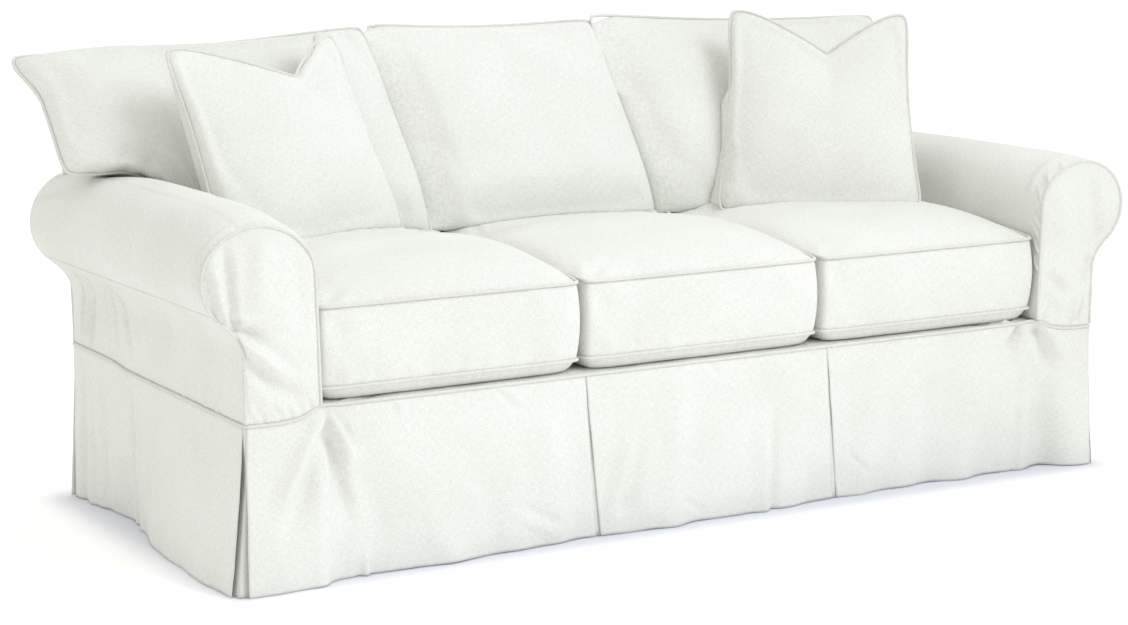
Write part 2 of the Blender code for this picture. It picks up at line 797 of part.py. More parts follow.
def seam_loop(columns, rows, seam):
    """The seam's points in order, with the way out of the cushion at each."""
    keys = [(i / columns, 0.0) for i in range(columns)] + [(1.0, i / rows) for i in range(rows)]
    keys += [(1 - i / columns, 1.0) for i in range(columns)] + [(0.0, 1 - i / rows) for i in range(rows)]
    points = [seam(u, v) for u, v in keys]
    count = len(points)
    across = (seam(0.6, 0.5) - seam(0.4, 0.5)).cross(seam(0.5, 0.6) - seam(0.5, 0.4)).normalized()
    outs = []
    for i in range(count):
        before = (points[i] - points[i - 1]).normalized()
        after = (points[(i + 1) % count] - points[i]).normalized()
        heading = (before + after).normalized()
        out = heading.cross(across).normalized()
        outs.append(out * WELT_OFF / max(heading.dot(before), 0.6))
    return [point + out for point, out in zip(points, outs)]


def back_cushion(row):
    """A loosely filled back cushion that leans on the back. An outer one steps up over its arm."""
    columns, rows = row.columns, 8

    def seam(u, v):
        low = row.low_left.lerp(row.low_right, u)
        high = row.high_left.lerp(row.high_right, u)
        if row.ear_side:
            lift = smooth((row.ear_side * low.x - row.ear_x + 0.03) / EAR_STEP)
            low = low + Vector((0, EAR_LEAN * lift, EAR_LIFT * lift))
        drawn = 0.010 * hill(v, 2) * (2 * u - 1) ** 3
        if row.ear_side < 0:
            drawn += EAR_REACH * smooth((v - 0.70) / 0.30) * (1 - u) ** 8
        point = low.lerp(high, v)
        sag = 0.008 * hill(u, 2) * (2 * v - 1) ** 3
        return point - Vector((drawn, 0, sag))

    normal = (row.low_right - row.low_left).cross(row.high_left - row.low_left).normalized()
    normal = normal if normal.y < 0 else -normal

    def faces(u, v):
        dome = (hill(u, 2.8) * hill(v, 2.6)) ** 0.50
        heavy = 1 + 0.22 * math.cos(math.pi * v)
        return normal * row.front * dome * heavy, -normal * row.rear * dome

    body = filled(f"back_cushion_{row.name}", columns, rows, seam, faces)
    return [body, welt(f"back_welt_{row.name}", seam_loop(columns, rows, seam))]


def throw_pillow(row):
    """A square pillow, chopped in at the top so that its upper corners stand as ears."""
    columns, rows = 11, 10
    across = (row.low_right - row.low_left).normalized()
    rise = (row.high_left + row.high_right - row.low_left - row.low_right).normalized()
    normal = across.cross(rise).normalized()

    def seam(u, v):
        point = row.low_left.lerp(row.low_right, u).lerp(row.high_left.lerp(row.high_right, u), v)
        side = 2 * u - 1
        drawn = 0.012 * hill(v, 2) * side**3
        flank = u / row.chop_at if u < row.chop_at else (1 - u) / (1 - row.chop_at)
        chop = row.chop * flank**1.15 * smooth((v - 0.35) / 0.65)
        bow = 0.006 * hill(u, 2) * (1 - v) ** 3
        tuck = row.tuck * (1 - u) ** 2 * (1 - smooth(v / TUCK_TOP))
        return point + across * (tuck - drawn) + rise * (bow - chop)

    def faces(u, v):
        dome = (hill(u, 2.2) * hill(v, 2.2)) ** 0.58
        heavy = 1 + 0.18 * math.cos(math.pi * v)
        dent = 1 - 0.28 * smooth((v - 0.55) / 0.45) * hill(u, 2)
        return normal * row.crown * dome * heavy * dent, -normal * row.crown * PILLOW_REAR * dome * heavy

    body = filled(f"throw_pillow_{row.name}", columns, rows, seam, faces)
    return [body, welt(f"pillow_welt_{row.name}", seam_loop(columns, rows, seam))]


# Seating one piece on another.


def world_faces(things):
    """Points and faces of some objects as they are evaluated, in world space."""
    graph = bpy.context.evaluated_depsgraph_get()
    points, faces = [], []
    for thing in things:
        shown = thing.evaluated_get(graph)
        mesh = shown.to_mesh()
        first = len(points)
        points += [thing.matrix_world @ vert.co for vert in mesh.vertices]
        faces += [[first + i for i in face.vertices] for face in mesh.polygons]
        shown.to_mesh_clear()
    return points, faces


def press(thing, carriers, heading, clearance=0.0012, reach=0.4):
    """Flatten a filled piece where it would sink into what carries it."""
    bpy.context.view_layer.update()
    carrier = BVHTree.FromPolygons(*world_faces(carriers))
    heading = Vector(heading).normalized()
    inverse = thing.matrix_world.inverted()
    for vert in thing.data.vertices:
        point = thing.matrix_world @ vert.co
        hit, normal, _, distance = carrier.ray_cast(point - heading * reach, heading, reach + clearance)
        if hit is not None and normal.dot(heading) < 0 and distance < reach + clearance:
            vert.co = inverse @ (hit - heading * clearance)


def settle(things, carriers, heading, lift=0.02, reach=0.12):
    """Back some objects off, then move them until they all but touch what carries them."""
    bpy.context.view_layer.update()
    carrier = BVHTree.FromPolygons(*world_faces(carriers))
    points, faces = world_faces(things)
    heading = Vector(heading).normalized()

    def meets(distance):
        moved = BVHTree.FromPolygons([point + heading * distance for point in points], faces)
        return bool(moved.overlap(carrier))

    step, gone = 0.002, -lift
    while gone < reach and not meets(gone + step):
        gone += step
    clear, hit = gone, gone + step
    for _ in range(6):
        middle = (clear + hit) / 2
        clear, hit = (clear, middle) if meets(middle) else (middle, hit)
    for thing in things:
        thing.location += heading * (clear - SEAT_GAP)


def build():
    clear_scene()
    skirt_panels()
    underlays()
    skirt_welt()
    base, back = deck(), inside_back()
    outside_back()
    back_gussets()
    arms()
    bpy.context.view_layer.update()
    arm_cloth = [bpy.data.objects[f"arm_{side}"] for side in ("left", "right")]
    frame_back = [back] + [bpy.data.objects[f"back_gusset_{side}"] for side in ("left", "right")]
    seats = []
    for name, cell in (("left", -1), ("middle", 0), ("right", 1)):
        pieces = seat_cushion(name, cell * SEAT_CELL)
        settle(pieces, [base], (0, 0, -1))
        seats += pieces
    backs = []
    for row in BACK_CUSHIONS:
        pieces = back_cushion(row)
        press(pieces[0], seats + arm_cloth, (0, 0, -1))
        press(pieces[0], [back], (0, 1, 0))
        carriers = arm_cloth + backs + frame_back
        settle(pieces, seats + arm_cloth, (0, 0, -1))
        settle(pieces, carriers, (0, 1, 0), lift=0.08)
        settle(pieces, seats + carriers, (0, 0, -1))
        backs += pieces
    for row in PILLOWS:
        pieces = throw_pillow(row)
        press(pieces[0], seats, (0, 0, -1))
        settle(pieces, seats + arm_cloth, (0, 0, -1), lift=0.05)
        settle(pieces, arm_cloth + backs, (0, 1, 0), lift=0.16)
        settle(pieces, seats + arm_cloth + backs, (0, 0, -1), lift=0.05)
    for thing in bpy.data.objects:
        thing.location.x += MIDDLE_X


build()
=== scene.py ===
"""Dresses a loose slipcover for a rolled-arm sofa: cloth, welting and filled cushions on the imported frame.

Lengths are metres. Shapes are worked out from the middle of the arms, and CENTRE moves them to the frame's own
middle, because the left back cushion overhangs its arm. X runs along the seat, -Y is the front and +Z is up.
"""

import json
import logging
import math
from collections.abc import Callable, Sequence
from dataclasses import dataclass, field
from enum import Enum
from typing import NamedTuple

import bmesh
import bpy
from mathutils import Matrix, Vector, noise
from mathutils.bvhtree import BVHTree

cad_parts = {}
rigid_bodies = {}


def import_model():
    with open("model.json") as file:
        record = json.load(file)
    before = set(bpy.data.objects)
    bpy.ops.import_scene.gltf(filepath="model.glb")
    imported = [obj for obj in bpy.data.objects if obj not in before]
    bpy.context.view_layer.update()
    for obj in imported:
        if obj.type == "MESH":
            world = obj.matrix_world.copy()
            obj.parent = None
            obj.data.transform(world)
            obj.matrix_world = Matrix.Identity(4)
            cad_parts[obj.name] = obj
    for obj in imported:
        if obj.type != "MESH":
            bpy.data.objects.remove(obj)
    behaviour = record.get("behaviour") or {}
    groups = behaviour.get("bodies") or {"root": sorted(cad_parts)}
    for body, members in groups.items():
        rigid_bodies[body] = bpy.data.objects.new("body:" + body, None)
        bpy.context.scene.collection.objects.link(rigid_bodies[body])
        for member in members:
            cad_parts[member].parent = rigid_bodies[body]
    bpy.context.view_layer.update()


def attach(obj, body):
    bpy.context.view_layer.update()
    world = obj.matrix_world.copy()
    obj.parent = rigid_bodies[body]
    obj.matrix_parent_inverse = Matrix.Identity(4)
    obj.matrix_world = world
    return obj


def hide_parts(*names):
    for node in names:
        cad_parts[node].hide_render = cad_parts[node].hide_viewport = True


LOG = logging.getLogger("slipcover")

CENTRE = Vector((0.026, 0.0, 0.0))

# Cloth and sewing.
CLOTH = 0.0013
WELT_R = 0.0033
SEWN_IN = 0.0012  # from a cloth's edge to the middle of the cord that is sewn in beside it
WELT_OFF = 0.0018  # from the seam of a cushion or pillow out to the middle of its cord
MEETING = 0.0006  # between two panels that meet edge to edge
ENDING = 0.0012  # from a panel's edge to the line of the panel that it ends on
INSIDE_BACK = 0.0026  # from the outside back's face in to the end of an arm's panel
ON_EDGE = 1e-4  # a share nearer than this to 0 or 1 lies on the edge
CORNER_POWER = 11  # how closely a rounded corner keeps to its two sides
UP = Vector((0, 0, 1))

# The box that the skirt hangs from.
HALF_WIDTH = 1.0
HALF_DEPTH = 0.425
SKIRT_BACK_Z = 0.325
HEM_Z = 0.0006

# Deck and back of the cover.
DECK_Z = 0.333
ARM_FRONT_Y = -0.430
DECK_FRONT_Y = -0.418
BACK_FOOT_Y = 0.262
BACK_HEAD_Y = 0.360
BACK_HEAD_Z = 0.850
BACK_ROUND_R = 0.020
BACK_REAR_Y = 0.468
BACK_HEM = 0.004

# Scroll of an arm.
ARM_INNER_X = 0.848
ARM_OUTER_X = 0.998
ROLL_X, ROLL_Z = 0.966, 0.572
ROLL_RX, ROLL_RZ = 0.111, 0.097
UNDER_SEAM_DEG = -38
NECK_START_DEG = -48
NECK_END_Z = 0.430
ARM_TOP_Z = ROLL_Z + ROLL_RZ + 0.018

Place = Callable[[float, float], Vector]


class Side(Enum):
    """The two ends of the sofa, seen from the front."""

    LEFT = -1
    RIGHT = 1

    @property
    def word(self) -> str:
        """The side's word in the frame's node names."""
        return self.name.lower()


class Held(Enum):
    """How a sheet of cloth is held."""

    HUNG = "hung"
    DRAPED = "draped"
    STRETCHED = "stretched"


class Chart(Enum):
    """The two directions that a sheet's creases are measured in."""

    FRONT = "x and z"
    SIDE = "y and z"
    FLAT = "along the cut piece"


class Row(NamedTuple):
    """One row of a table of sizes: a place, and the size there."""

    at: float
    size: float


class Slit(NamedTuple):
    """Half of the gap in a kick pleat, at the seam and at the hem."""

    top: float
    hem: float


class Pleat(NamedTuple):
    """Where a kick pleat runs, at the seam and at the hem."""

    seam: float
    hem: float


class Edges(NamedTuple):
    """How far in from each edge of a sheet its sewing holds it still. 0 leaves that edge free."""

    left: float = 0.0
    right: float = 0.0
    low: float = 0.0
    high: float = 0.0


# How far the padding lifts the top of each roll above its front scroll, along the arm.
ARM_PADDING = {
    Side.LEFT: (
        Row(-0.430, 0.000),
        Row(-0.385, 0.018),
        Row(-0.300, 0.028),
        Row(-0.100, 0.030),
        Row(0.140, 0.030),
        Row(0.330, 0.020),
        Row(0.430, 0.012),
    ),
    Side.RIGHT: (
        Row(-0.430, 0.000),
        Row(-0.380, 0.007),
        Row(-0.250, 0.011),
        Row(0.100, 0.012),
        Row(0.430, 0.012),
    ),
}
# Height of the skirt seam along the front, by x, and along each side, by y.
FRONT_SEAM = (
    Row(-1.000, 0.310),
    Row(-0.940, 0.309),
    Row(-0.890, 0.314),
    Row(-0.850, 0.330),
    Row(-0.800, 0.329),
    Row(0.000, 0.329),
    Row(0.800, 0.329),
    Row(0.850, 0.331),
    Row(0.890, 0.316),
    Row(0.940, 0.309),
    Row(1.000, 0.308),
)
SIDE_SEAM = (
    Row(-0.430, 0.310),
    Row(-0.300, 0.311),
    Row(-0.150, 0.313),
    Row(0.120, 0.316),
    Row(0.220, 0.323),
    Row(0.425, 0.325),
)
# How far the hem stands out from the seam, round the skirt.
FRONT_FOLDS = (
    Row(-1.000, 0.028),
    Row(-0.910, 0.027),
    Row(-0.800, 0.008),
    Row(-0.742, 0.006),
    Row(-0.618, 0.011),
    Row(-0.474, 0.007),
    Row(-0.331, -0.009),
    Row(-0.246, -0.010),
    Row(-0.094, 0.002),
    Row(-0.004, -0.008),
    Row(0.168, -0.006),
    Row(0.290, -0.018),
    Row(0.464, -0.024),
    Row(0.677, -0.020),
    Row(0.860, -0.022),
    Row(0.930, -0.010),
    Row(1.000, 0.004),
)
SIDE_FOLDS = {
    Side.LEFT: (
        Row(-0.430, 0.036),
        Row(-0.250, 0.039),
        Row(-0.080, 0.026),
        Row(0.080, -0.006),
        Row(0.200, -0.026),
        Row(0.300, -0.008),
        Row(0.425, 0.002),
    ),
    Side.RIGHT: (
        Row(-0.430, 0.014),
        Row(-0.300, 0.022),
        Row(-0.120, 0.004),
        Row(0.060, 0.020),
        Row(0.240, 0.002),
        Row(0.425, 0.016),
    ),
}
BACK_FOLDS = (
    Row(-1.000, 0.014),
    Row(-0.840, 0.004),
    Row(-0.600, 0.018),
    Row(-0.400, 0.006),
    Row(-0.282, 0.010),
    Row(-0.060, 0.020),
    Row(0.160, 0.004),
    Row(0.282, 0.010),
    Row(0.520, 0.004),
    Row(0.720, 0.018),
    Row(0.880, 0.006),
    Row(1.000, 0.014),
)
FLAT_SLIT = Slit(0.0006, 0.0055)
CORNER_SLIT = Slit(0.0040, -0.0090)
FRONT_PLEATS = (Pleat(-0.279, -0.242), Pleat(0.298, 0.342))
BACK_PLEATS = (Pleat(-0.282, -0.282), Pleat(0.282, 0.282))


def eased(rows: Sequence[Row], at: float) -> float:
    """The size at a place in a table, along a smooth curve through its rows.

    Args:
        rows: the table, in order of place.
        at: the place.

    Returns:
        The size there, held level past either end.
    """
    if at <= rows[0].at:
        return rows[0].size
    for i, (here, there) in enumerate(zip(rows, rows[1:])):
        if at > there.at:
            continue
        before, after = rows[max(i - 1, 0)], rows[min(i + 2, len(rows) - 1)]
        span = there.at - here.at
        start = (there.size - before.size) / (there.at - before.at) * span
        stop = (after.size - here.size) / (after.at - here.at) * span
        t = (at - here.at) / span
        return (
            here.size * (1 + 2 * t) * (1 - t) ** 2
            + start * t * (1 - t) ** 2
            + there.size * t * t * (3 - 2 * t)
            - stop * t * t * (1 - t)
        )
    return rows[-1].size


def mix(a: float, b: float, t: float) -> float:
    """A number t of the way from a to b."""
    return a + (b - a) * t


def smooth(t: float) -> float:
    """0 to 1 with level ends, for t from 0 to 1."""
    t = min(max(t, 0.0), 1.0)
    return t * t * (3 - 2 * t)


def hill(t: float, power: float) -> float:
    """1 in the middle of 0 to 1 and 0 at its ends, flat-topped for a high power."""
    return 1 - abs(2 * t - 1) ** power


def swell(t: float, low: float, high: float) -> float:
    """0 at both ends of 0 to 1, and full from low after the start to high before the end, round in between."""
    near = min(t / low, (1 - t) / high, 1.0)
    return math.sqrt(max(1 - (1 - near) ** 2, 0.0))


def resample(points: Sequence[Vector], count: int) -> list[Vector]:
    """A line of points, laid out again at even spacing.

    Args:
        points: the line.
        count: how many stretches to cut it into.

    Returns:
        count + 1 points.
    """
    lengths = [0.0]
    for a, b in zip(points, points[1:]):
        lengths.append(lengths[-1] + (b - a).length)
    found, k = [], 0
    for i in range(count + 1):
        want = lengths[-1] * i / count
        while k < len(points) - 2 and lengths[k + 1] < want:
            k += 1
        share = (want - lengths[k]) / max(lengths[k + 1] - lengths[k], 1e-9)
        found.append(points[k].lerp(points[k + 1], share))
    return found


def round_edge(count: int) -> list[tuple[float, float]]:
    """Shares across and up, once round the edge of a unit square, in count steps a side."""
    steps = [i / count for i in range(count)]
    first = [(t, 0.0) for t in steps] + [(1.0, t) for t in steps]
    return first + [(1 - t, 1.0) for t in steps] + [(0.0, 1 - t) for t in steps]


def headings_round(points: Sequence[Vector]) -> list[Vector]:
    """Which way a closed line runs at each of its points."""
    return [(points[(i + 1) % len(points)] - points[i - 1]).normalized() for i in range(len(points))]


def lay_threads(shape: bmesh.types.BMesh, measures: Callable[[bmesh.types.BMLoop], tuple]) -> None:
    """Charts a piece's cloth for its weave.

    Args:
        shape: the piece.
        measures: the two lengths along the cloth at a face's corner.
    """
    threads = shape.loops.layers.uv.new("cloth")
    for face in shape.faces:
        for loop in face.loops:
            loop[threads].uv = measures(loop)


def linear(code: str) -> tuple[float, float, float, float]:
    """An sRGB hex colour, such as "#F4F4EE", as linear RGBA."""
    parts = [int(code[i : i + 2], 16) / 255 for i in (1, 3, 5)]
    red, green, blue = (c / 12.92 if c <= 0.04045 else ((c + 0.055) / 1.055) ** 2.4 for c in parts)
    return red, green, blue, 1.0


# Finishes.


def add_node(tree: bpy.types.NodeTree, kind: str, settings: dict, links: dict) -> bpy.types.Node:
    """Adds one node.

    Args:
        tree: the material's or the world's node tree.
        kind: Blender's name for the node.
        settings: values by property name, or by input name or number.
        links: input name or number to the output socket that feeds it.

    Returns:
        The node.
    """
    node = tree.nodes.new(kind)
    for key, value in settings.items():
        if isinstance(key, str) and hasattr(node, key):
            setattr(node, key, value)
        else:
            node.inputs[key].default_value = value
    for key, output in links.items():
        tree.links.new(output, node.inputs[key])
    return node


@dataclass(frozen=True)
class Weave:
    """Heavy cotton canvas, plain woven from slubby yarn and washed: matt, with a faint grain both ways."""

    name: str
    light: str
    shade: str
    thread: float = 0.0017  # real yarns are 0.7 mm apart, drawn coarser so that the grain shows
    slub: float = 0.011  # length of a thick place in a yarn
    turn: float = 0.0  # of the weave against the piece, in degrees
    relief: float = 0.0009
    roughness: float = 0.93
    sheen: float = 0.18
    sheen_roughness: float = 0.45
    gloss: float = 0.25
    grain: float = 0.55  # strength of its relief
    fading: float = 0.25  # how strongly patches differ in tone
    dark_at: float = 0.50  # tone at which the shade is full
    light_at: float = 0.75

    def material(self) -> bpy.types.Material:
        """Makes the cloth's material, once for each finish."""
        found = bpy.data.materials.get(self.name)
        if found:
            return found
        made = bpy.data.materials.new(self.name)
        made.use_nodes = True
        tree = made.node_tree
        shader = tree.nodes["Principled BSDF"]
        shader.inputs["Roughness"].default_value = self.roughness
        shader.inputs["Sheen Weight"].default_value = self.sheen
        shader.inputs["Sheen Roughness"].default_value = self.sheen_roughness
        shader.inputs["Specular IOR Level"].default_value = self.gloss
        place = add_node(tree, "ShaderNodeUVMap", {"uv_map": "cloth"}, {})
        turned = add_node(
            tree,
            "ShaderNodeMapping",
            {"Rotation": (0.0, 0.0, math.radians(self.turn))},
            {"Vector": place.outputs["UV"]},
        )
        yarns = []
        for scale in ((1 / self.thread, 1 / self.slub, 1.0), (1 / self.slub, 1 / self.thread, 1.0)):
            laid = add_node(tree, "ShaderNodeMapping", {"Scale": scale}, {"Vector": turned.outputs["Vector"]})
            yarns.append(
                add_node(
                    tree,
                    "ShaderNodeTexNoise",
                    {"Scale": 1.0, "Detail": 2.0, "Roughness": 0.55},
                    {"Vector": laid.outputs["Vector"]},
                )
            )
        cross = add_node(
            tree,
            "ShaderNodeMath",
            {"operation": "ADD"},
            {0: yarns[0].outputs["Fac"], 1: yarns[1].outputs["Fac"]},
        )
        body = add_node(tree, "ShaderNodeTexCoord", {}, {})
        patches = add_node(
            tree,
            "ShaderNodeTexNoise",
            {"Scale": 5.0, "Detail": 3.0},
            {"Vector": body.outputs["Object"]},
        )
        faded = add_node(
            tree,
            "ShaderNodeMath",
            {"operation": "MULTIPLY", 1: self.fading},
            {0: patches.outputs["Fac"]},
        )
        tone = add_node(
            tree,
            "ShaderNodeMath",
            {"operation": "MULTIPLY_ADD", 1: 0.5},
            {0: cross.outputs["Value"], 2: faded.outputs["Value"]},
        )
        ramp = add_node(tree, "ShaderNodeValToRGB", {}, {"Fac": tone.outputs["Value"]})
        ramp.color_ramp.elements[0].position = self.dark_at
        ramp.color_ramp.elements[0].color = linear(self.shade)
        ramp.color_ramp.elements[1].position = self.light_at
        ramp.color_ramp.elements[1].color = linear(self.light)
        bump = add_node(
            tree,
            "ShaderNodeBump",
            {"Strength": self.grain, "Distance": self.relief},
            {"Height": cross.outputs["Value"]},
        )
        tree.links.new(ramp.outputs["Color"], shader.inputs["Base Color"])
        tree.links.new(bump.outputs["Normal"], shader.inputs["Normal"])
        return made

    def dress(self, piece: bpy.types.Object) -> None:
        """Gives a piece this cloth."""
        piece.data.materials.clear()
        piece.data.materials.append(self.material())


CANVAS = Weave("washed cotton canvas", "#E8E9E4", "#D8D9D2")
# The welts' cloth is drawn darker than the canvas it is cut from: painted shade for the dark line along each
# seam.
BIAS_WITH_PAINTED_SHADE = Weave("bias-cut canvas over cord", "#DFE0D9", "#CFD0C8", turn=45.0, relief=0.0002)


@dataclass(frozen=True)
class StudioPaper:
    """Seamless white background paper, smooth and matt, with a painted shadow: greyer in colour and glow close
    round the sofa.
    """

    name: str = "white background paper"
    colour: str = "#FFFFFF"
    # painted shadow: the grey given to the paper next to the sofa, fading to white a short way out
    painted_shadow: str = "#D0D1D8"
    glow: float = 0.14  # lit through from behind
    painted_shadow_reach: float = 0.12

    def dress(self, piece: bpy.types.Object) -> None:
        """Gives the floor this paper."""
        made = bpy.data.materials.new(self.name)
        made.use_nodes = True
        tree = made.node_tree
        shader = tree.nodes["Principled BSDF"]
        shader.inputs["Roughness"].default_value = 0.95
        shader.inputs["Specular IOR Level"].default_value = 0.1
        shader.inputs["Emission Strength"].default_value = self.glow
        place = add_node(tree, "ShaderNodeTexCoord", {}, {})
        off = add_node(
            tree,
            "ShaderNodeVectorMath",
            {"operation": "ADD", 1: tuple(-CENTRE)},
            {0: place.outputs["Object"]},
        )
        size = add_node(tree, "ShaderNodeVectorMath", {"operation": "ABSOLUTE"}, {0: off.outputs["Vector"]})
        past = add_node(
            tree,
            "ShaderNodeVectorMath",
            {"operation": "SUBTRACT", 1: (HALF_WIDTH - 0.01, HALF_DEPTH - 0.01, 0.0)},
            {0: size.outputs["Vector"]},
        )
        outside = add_node(
            tree,
            "ShaderNodeVectorMath",
            {"operation": "MAXIMUM", 1: (0.0, 0.0, 0.0)},
            {0: past.outputs["Vector"]},
        )
        away = add_node(tree, "ShaderNodeVectorMath", {"operation": "LENGTH"}, {0: outside.outputs["Vector"]})
        share = add_node(
            tree,
            "ShaderNodeMath",
            {"operation": "DIVIDE", 1: self.painted_shadow_reach, "use_clamp": True},
            {0: away.outputs["Value"]},
        )
        # painted shadow: colour and glow run from grey at the sofa's outline to white further out
        ramp = add_node(tree, "ShaderNodeValToRGB", {}, {"Fac": share.outputs["Value"]})
        ramp.color_ramp.interpolation = "EASE"
        ramp.color_ramp.elements[0].color = linear(self.painted_shadow)
        ramp.color_ramp.elements[1].color = linear(self.colour)
        tree.links.new(ramp.outputs["Color"], shader.inputs["Base Color"])
        tree.links.new(ramp.outputs["Color"], shader.inputs["Emission Color"])
        piece.data.materials.append(made)


# Making pieces.


@dataclass(frozen=True)
class Crease:
    """One soft ridge in a sheet, or a trough where its height is below zero.

    It runs from start to end, spread times as wide at its end, and sinks into the cloth at both ends. A low
    shoulder of the other sense lies on each side of it.
    """

    start: tuple[float, float]
    end: tuple[float, float]
    width: float
    height: float
    spread: float = 1.0
    rise: float = 0.25  # share of the length over which it grows from its start
    fall: float = 0.5  # and sinks towards its end
    shoulder: float = 0.30

    def lift(self, a: float, b: float) -> float:
        """How far the crease lifts the cloth at a place.

        Args:
            a: the place's first measure.
            b: its second.

        Returns:
            The lift, in metres.
        """
        run = Vector(self.end) - Vector(self.start)
        off = Vector((a - self.start[0], b - self.start[1]))
        t = off.dot(run) / run.length_squared
        if t <= 0 or t >= 1:
            return 0.0
        wide = self.width * mix(1.0, self.spread, t)
        far = abs(off.cross(run)) / run.length / wide
        if far > 4:
            return 0.0
        ends = smooth(t / max(self.rise, 1e-3)) * smooth((1 - t) / max(self.fall, 1e-3))
        return self.height * ends * (math.exp(-far * far) - self.shoulder * math.exp(-((far - 1.9) ** 2)))


def creases(*rows: tuple[float, ...]) -> tuple[Crease, ...]:
    """A table of creases.

    Args:
        rows: for each crease the two measures of its start and of its end, its width and its height, and then
            its spread, rise, fall and shoulder as far as they differ from a plain crease's.

    Returns:
        The creases, in order.
    """
    return tuple(Crease(row[:2], row[2:4], *row[4:]) for row in rows)


FRONT_SKIRT_CREASES = creases(
    (-0.836, 0.324, -0.950, 0.115, 0.0110, 0.0137, 2.2, 0.10, 0.35),
    (-0.838, 0.312, -0.950, 0.045, 0.0120, -0.0137, 2.0, 0.20, 0.45),
    (-0.833, 0.290, -0.786, 0.070, 0.0100, -0.0137, 2.0, 0.15, 0.45),
    (-0.837, 0.280, -0.862, -0.120, 0.018, 0.0081, 1.6, 0.30, 0.02),
    (-0.829, 0.322, -0.770, 0.200, 0.0090, 0.0137, 2.0, 0.10, 0.50),
    (-0.824, 0.324, -0.764, 0.225, 0.006, -0.0099, 1.8, 0.10, 0.50),
    (-0.795, 0.250, -0.690, 0.010, 0.035, -0.0063, 1.0, 0.40, 0.40),
    (-0.757, 0.070, -0.760, -0.060, 0.007, 0.0072, 1.0, 0.50, 0.10),
    (-0.700, 0.325, -0.686, 0.285, 0.0050, -0.0027, 1.6, 0.10),
    (-0.684, 0.325, -0.672, 0.290, 0.0050, 0.0022, 1.6, 0.10),
    (-0.640, 0.200, -0.560, -0.080, 0.030, 0.0072, 1.0, 0.50, 0.20),
    (-0.480, 0.325, -0.425, 0.270, 0.0050, -0.0027, 1.6, 0.10),
    (-0.460, 0.325, -0.405, 0.275, 0.0050, 0.0020, 1.6, 0.10),
    (-0.440, 0.100, -0.310, 0.028, 0.0090, -0.0022, 1.0, 0.30, 0.30),
    (-0.455, 0.082, -0.330, 0.012, 0.0090, 0.0020, 1.0, 0.30, 0.30),
    (-0.520, 0.260, -0.470, -0.080, 0.034, -0.0063, 1.0, 0.40, 0.20),
    (-0.360, 0.290, -0.330, -0.080, 0.030, 0.0054, 1.0, 0.30, 0.20),
    (-0.165, 0.210, -0.226, 0.020, 0.0140, 0.0053, 1.0, 0.30, 0.30),
    (-0.140, 0.230, -0.190, 0.010, 0.0160, -0.0049, 1.0, 0.30, 0.30),
    (-0.064, 0.060, 0.010, 0.018, 0.0060, -0.0025, 1.0, 0.30, 0.30),
    (0.012, 0.326, 0.034, 0.288, 0.0050, -0.0035, 1.6, 0.10),
    (-0.060, 0.328, -0.070, -0.080, 0.0300, 0.0076, 1.0, 0.30, 0.20),
    (0.146, 0.240, 0.152, -0.080, 0.0180, 0.0059, 1.0, 0.35, 0.20),
    (0.168, 0.240, 0.176, -0.080, 0.0100, -0.0066, 1.0, 0.35, 0.20),
    (0.215, 0.320, 0.225, -0.080, 0.0320, 0.0043, 1.0, 0.30, 0.20),
    (0.360, 0.105, 0.432, 0.038, 0.0060, -0.0031, 1.0, 0.30, 0.30),
    (0.440, 0.320, 0.400, -0.080, 0.0350, 0.0088, 1.0, 0.35, 0.20),
    (0.560, 0.310, 0.590, -0.080, 0.0350, -0.0076, 1.0, 0.35, 0.20),
    (0.700, 0.320, 0.670, -0.080, 0.0320, 0.0076, 1.0, 0.35, 0.20),
    (0.812, 0.326, 0.772, 0.262, 0.0060, -0.0113, 1.8, 0.10, 0.50),
    (0.826, 0.320, 0.800, 0.230, 0.0090, 0.0101, 1.8, 0.12, 0.50),
    (0.846, 0.322, 0.915, 0.195, 0.0104, -0.0211, 2.4, 0.10, 0.50),
    (0.834, 0.290, 0.840, -0.080, 0.0120, 0.0088, 1.0, 0.25, 0.10),
    (0.858, 0.290, 0.908, -0.080, 0.028, -0.0260, 1.4, 0.55, 0.10, 0.15),
)
LEFT_SKIRT_CREASES = creases(
    (0.366, 0.318, 0.392, -0.080, 0.012, -0.0060, 1.0, 0.15, 0.10),
    (0.338, 0.318, 0.350, -0.080, 0.012, 0.0040, 1.0, 0.20, 0.10),
    (0.262, 0.316, 0.288, -0.080, 0.018, -0.0040, 1.0, 0.25, 0.10),
    (0.205, 0.300, 0.215, -0.080, 0.030, 0.0040, 1.0, 0.30, 0.10),
    (0.104, 0.314, 0.128, -0.080, 0.010, -0.0075, 1.3, 0.20, 0.05, 0.6),
    (0.010, 0.290, -0.030, -0.080, 0.040, 0.0040, 1.0, 0.40, 0.10),
    (-0.165, 0.260, -0.215, -0.080, 0.040, -0.0036, 1.0, 0.40, 0.10),
    (-0.345, 0.300, -0.320, -0.080, 0.030, 0.0030, 1.0, 0.40, 0.10),
)
RIGHT_SKIRT_CREASES = creases(
    (-0.300, 0.300, -0.280, -0.080, 0.022, 0.0065, 1.0, 0.30, 0.10),
    (-0.200, 0.300, -0.190, -0.080, 0.020, -0.0065, 1.0, 0.30, 0.10),
    (-0.060, 0.310, -0.080, -0.080, 0.022, 0.0065, 1.0, 0.25, 0.10),
    (0.060, 0.310, 0.075, -0.080, 0.018, -0.0072, 1.0, 0.25, 0.10),
    (0.180, 0.310, 0.170, -0.080, 0.022, 0.0061, 1.0, 0.30, 0.10),
    (0.320, 0.310, 0.340, -0.080, 0.016, -0.0061, 1.0, 0.25, 0.10),
)
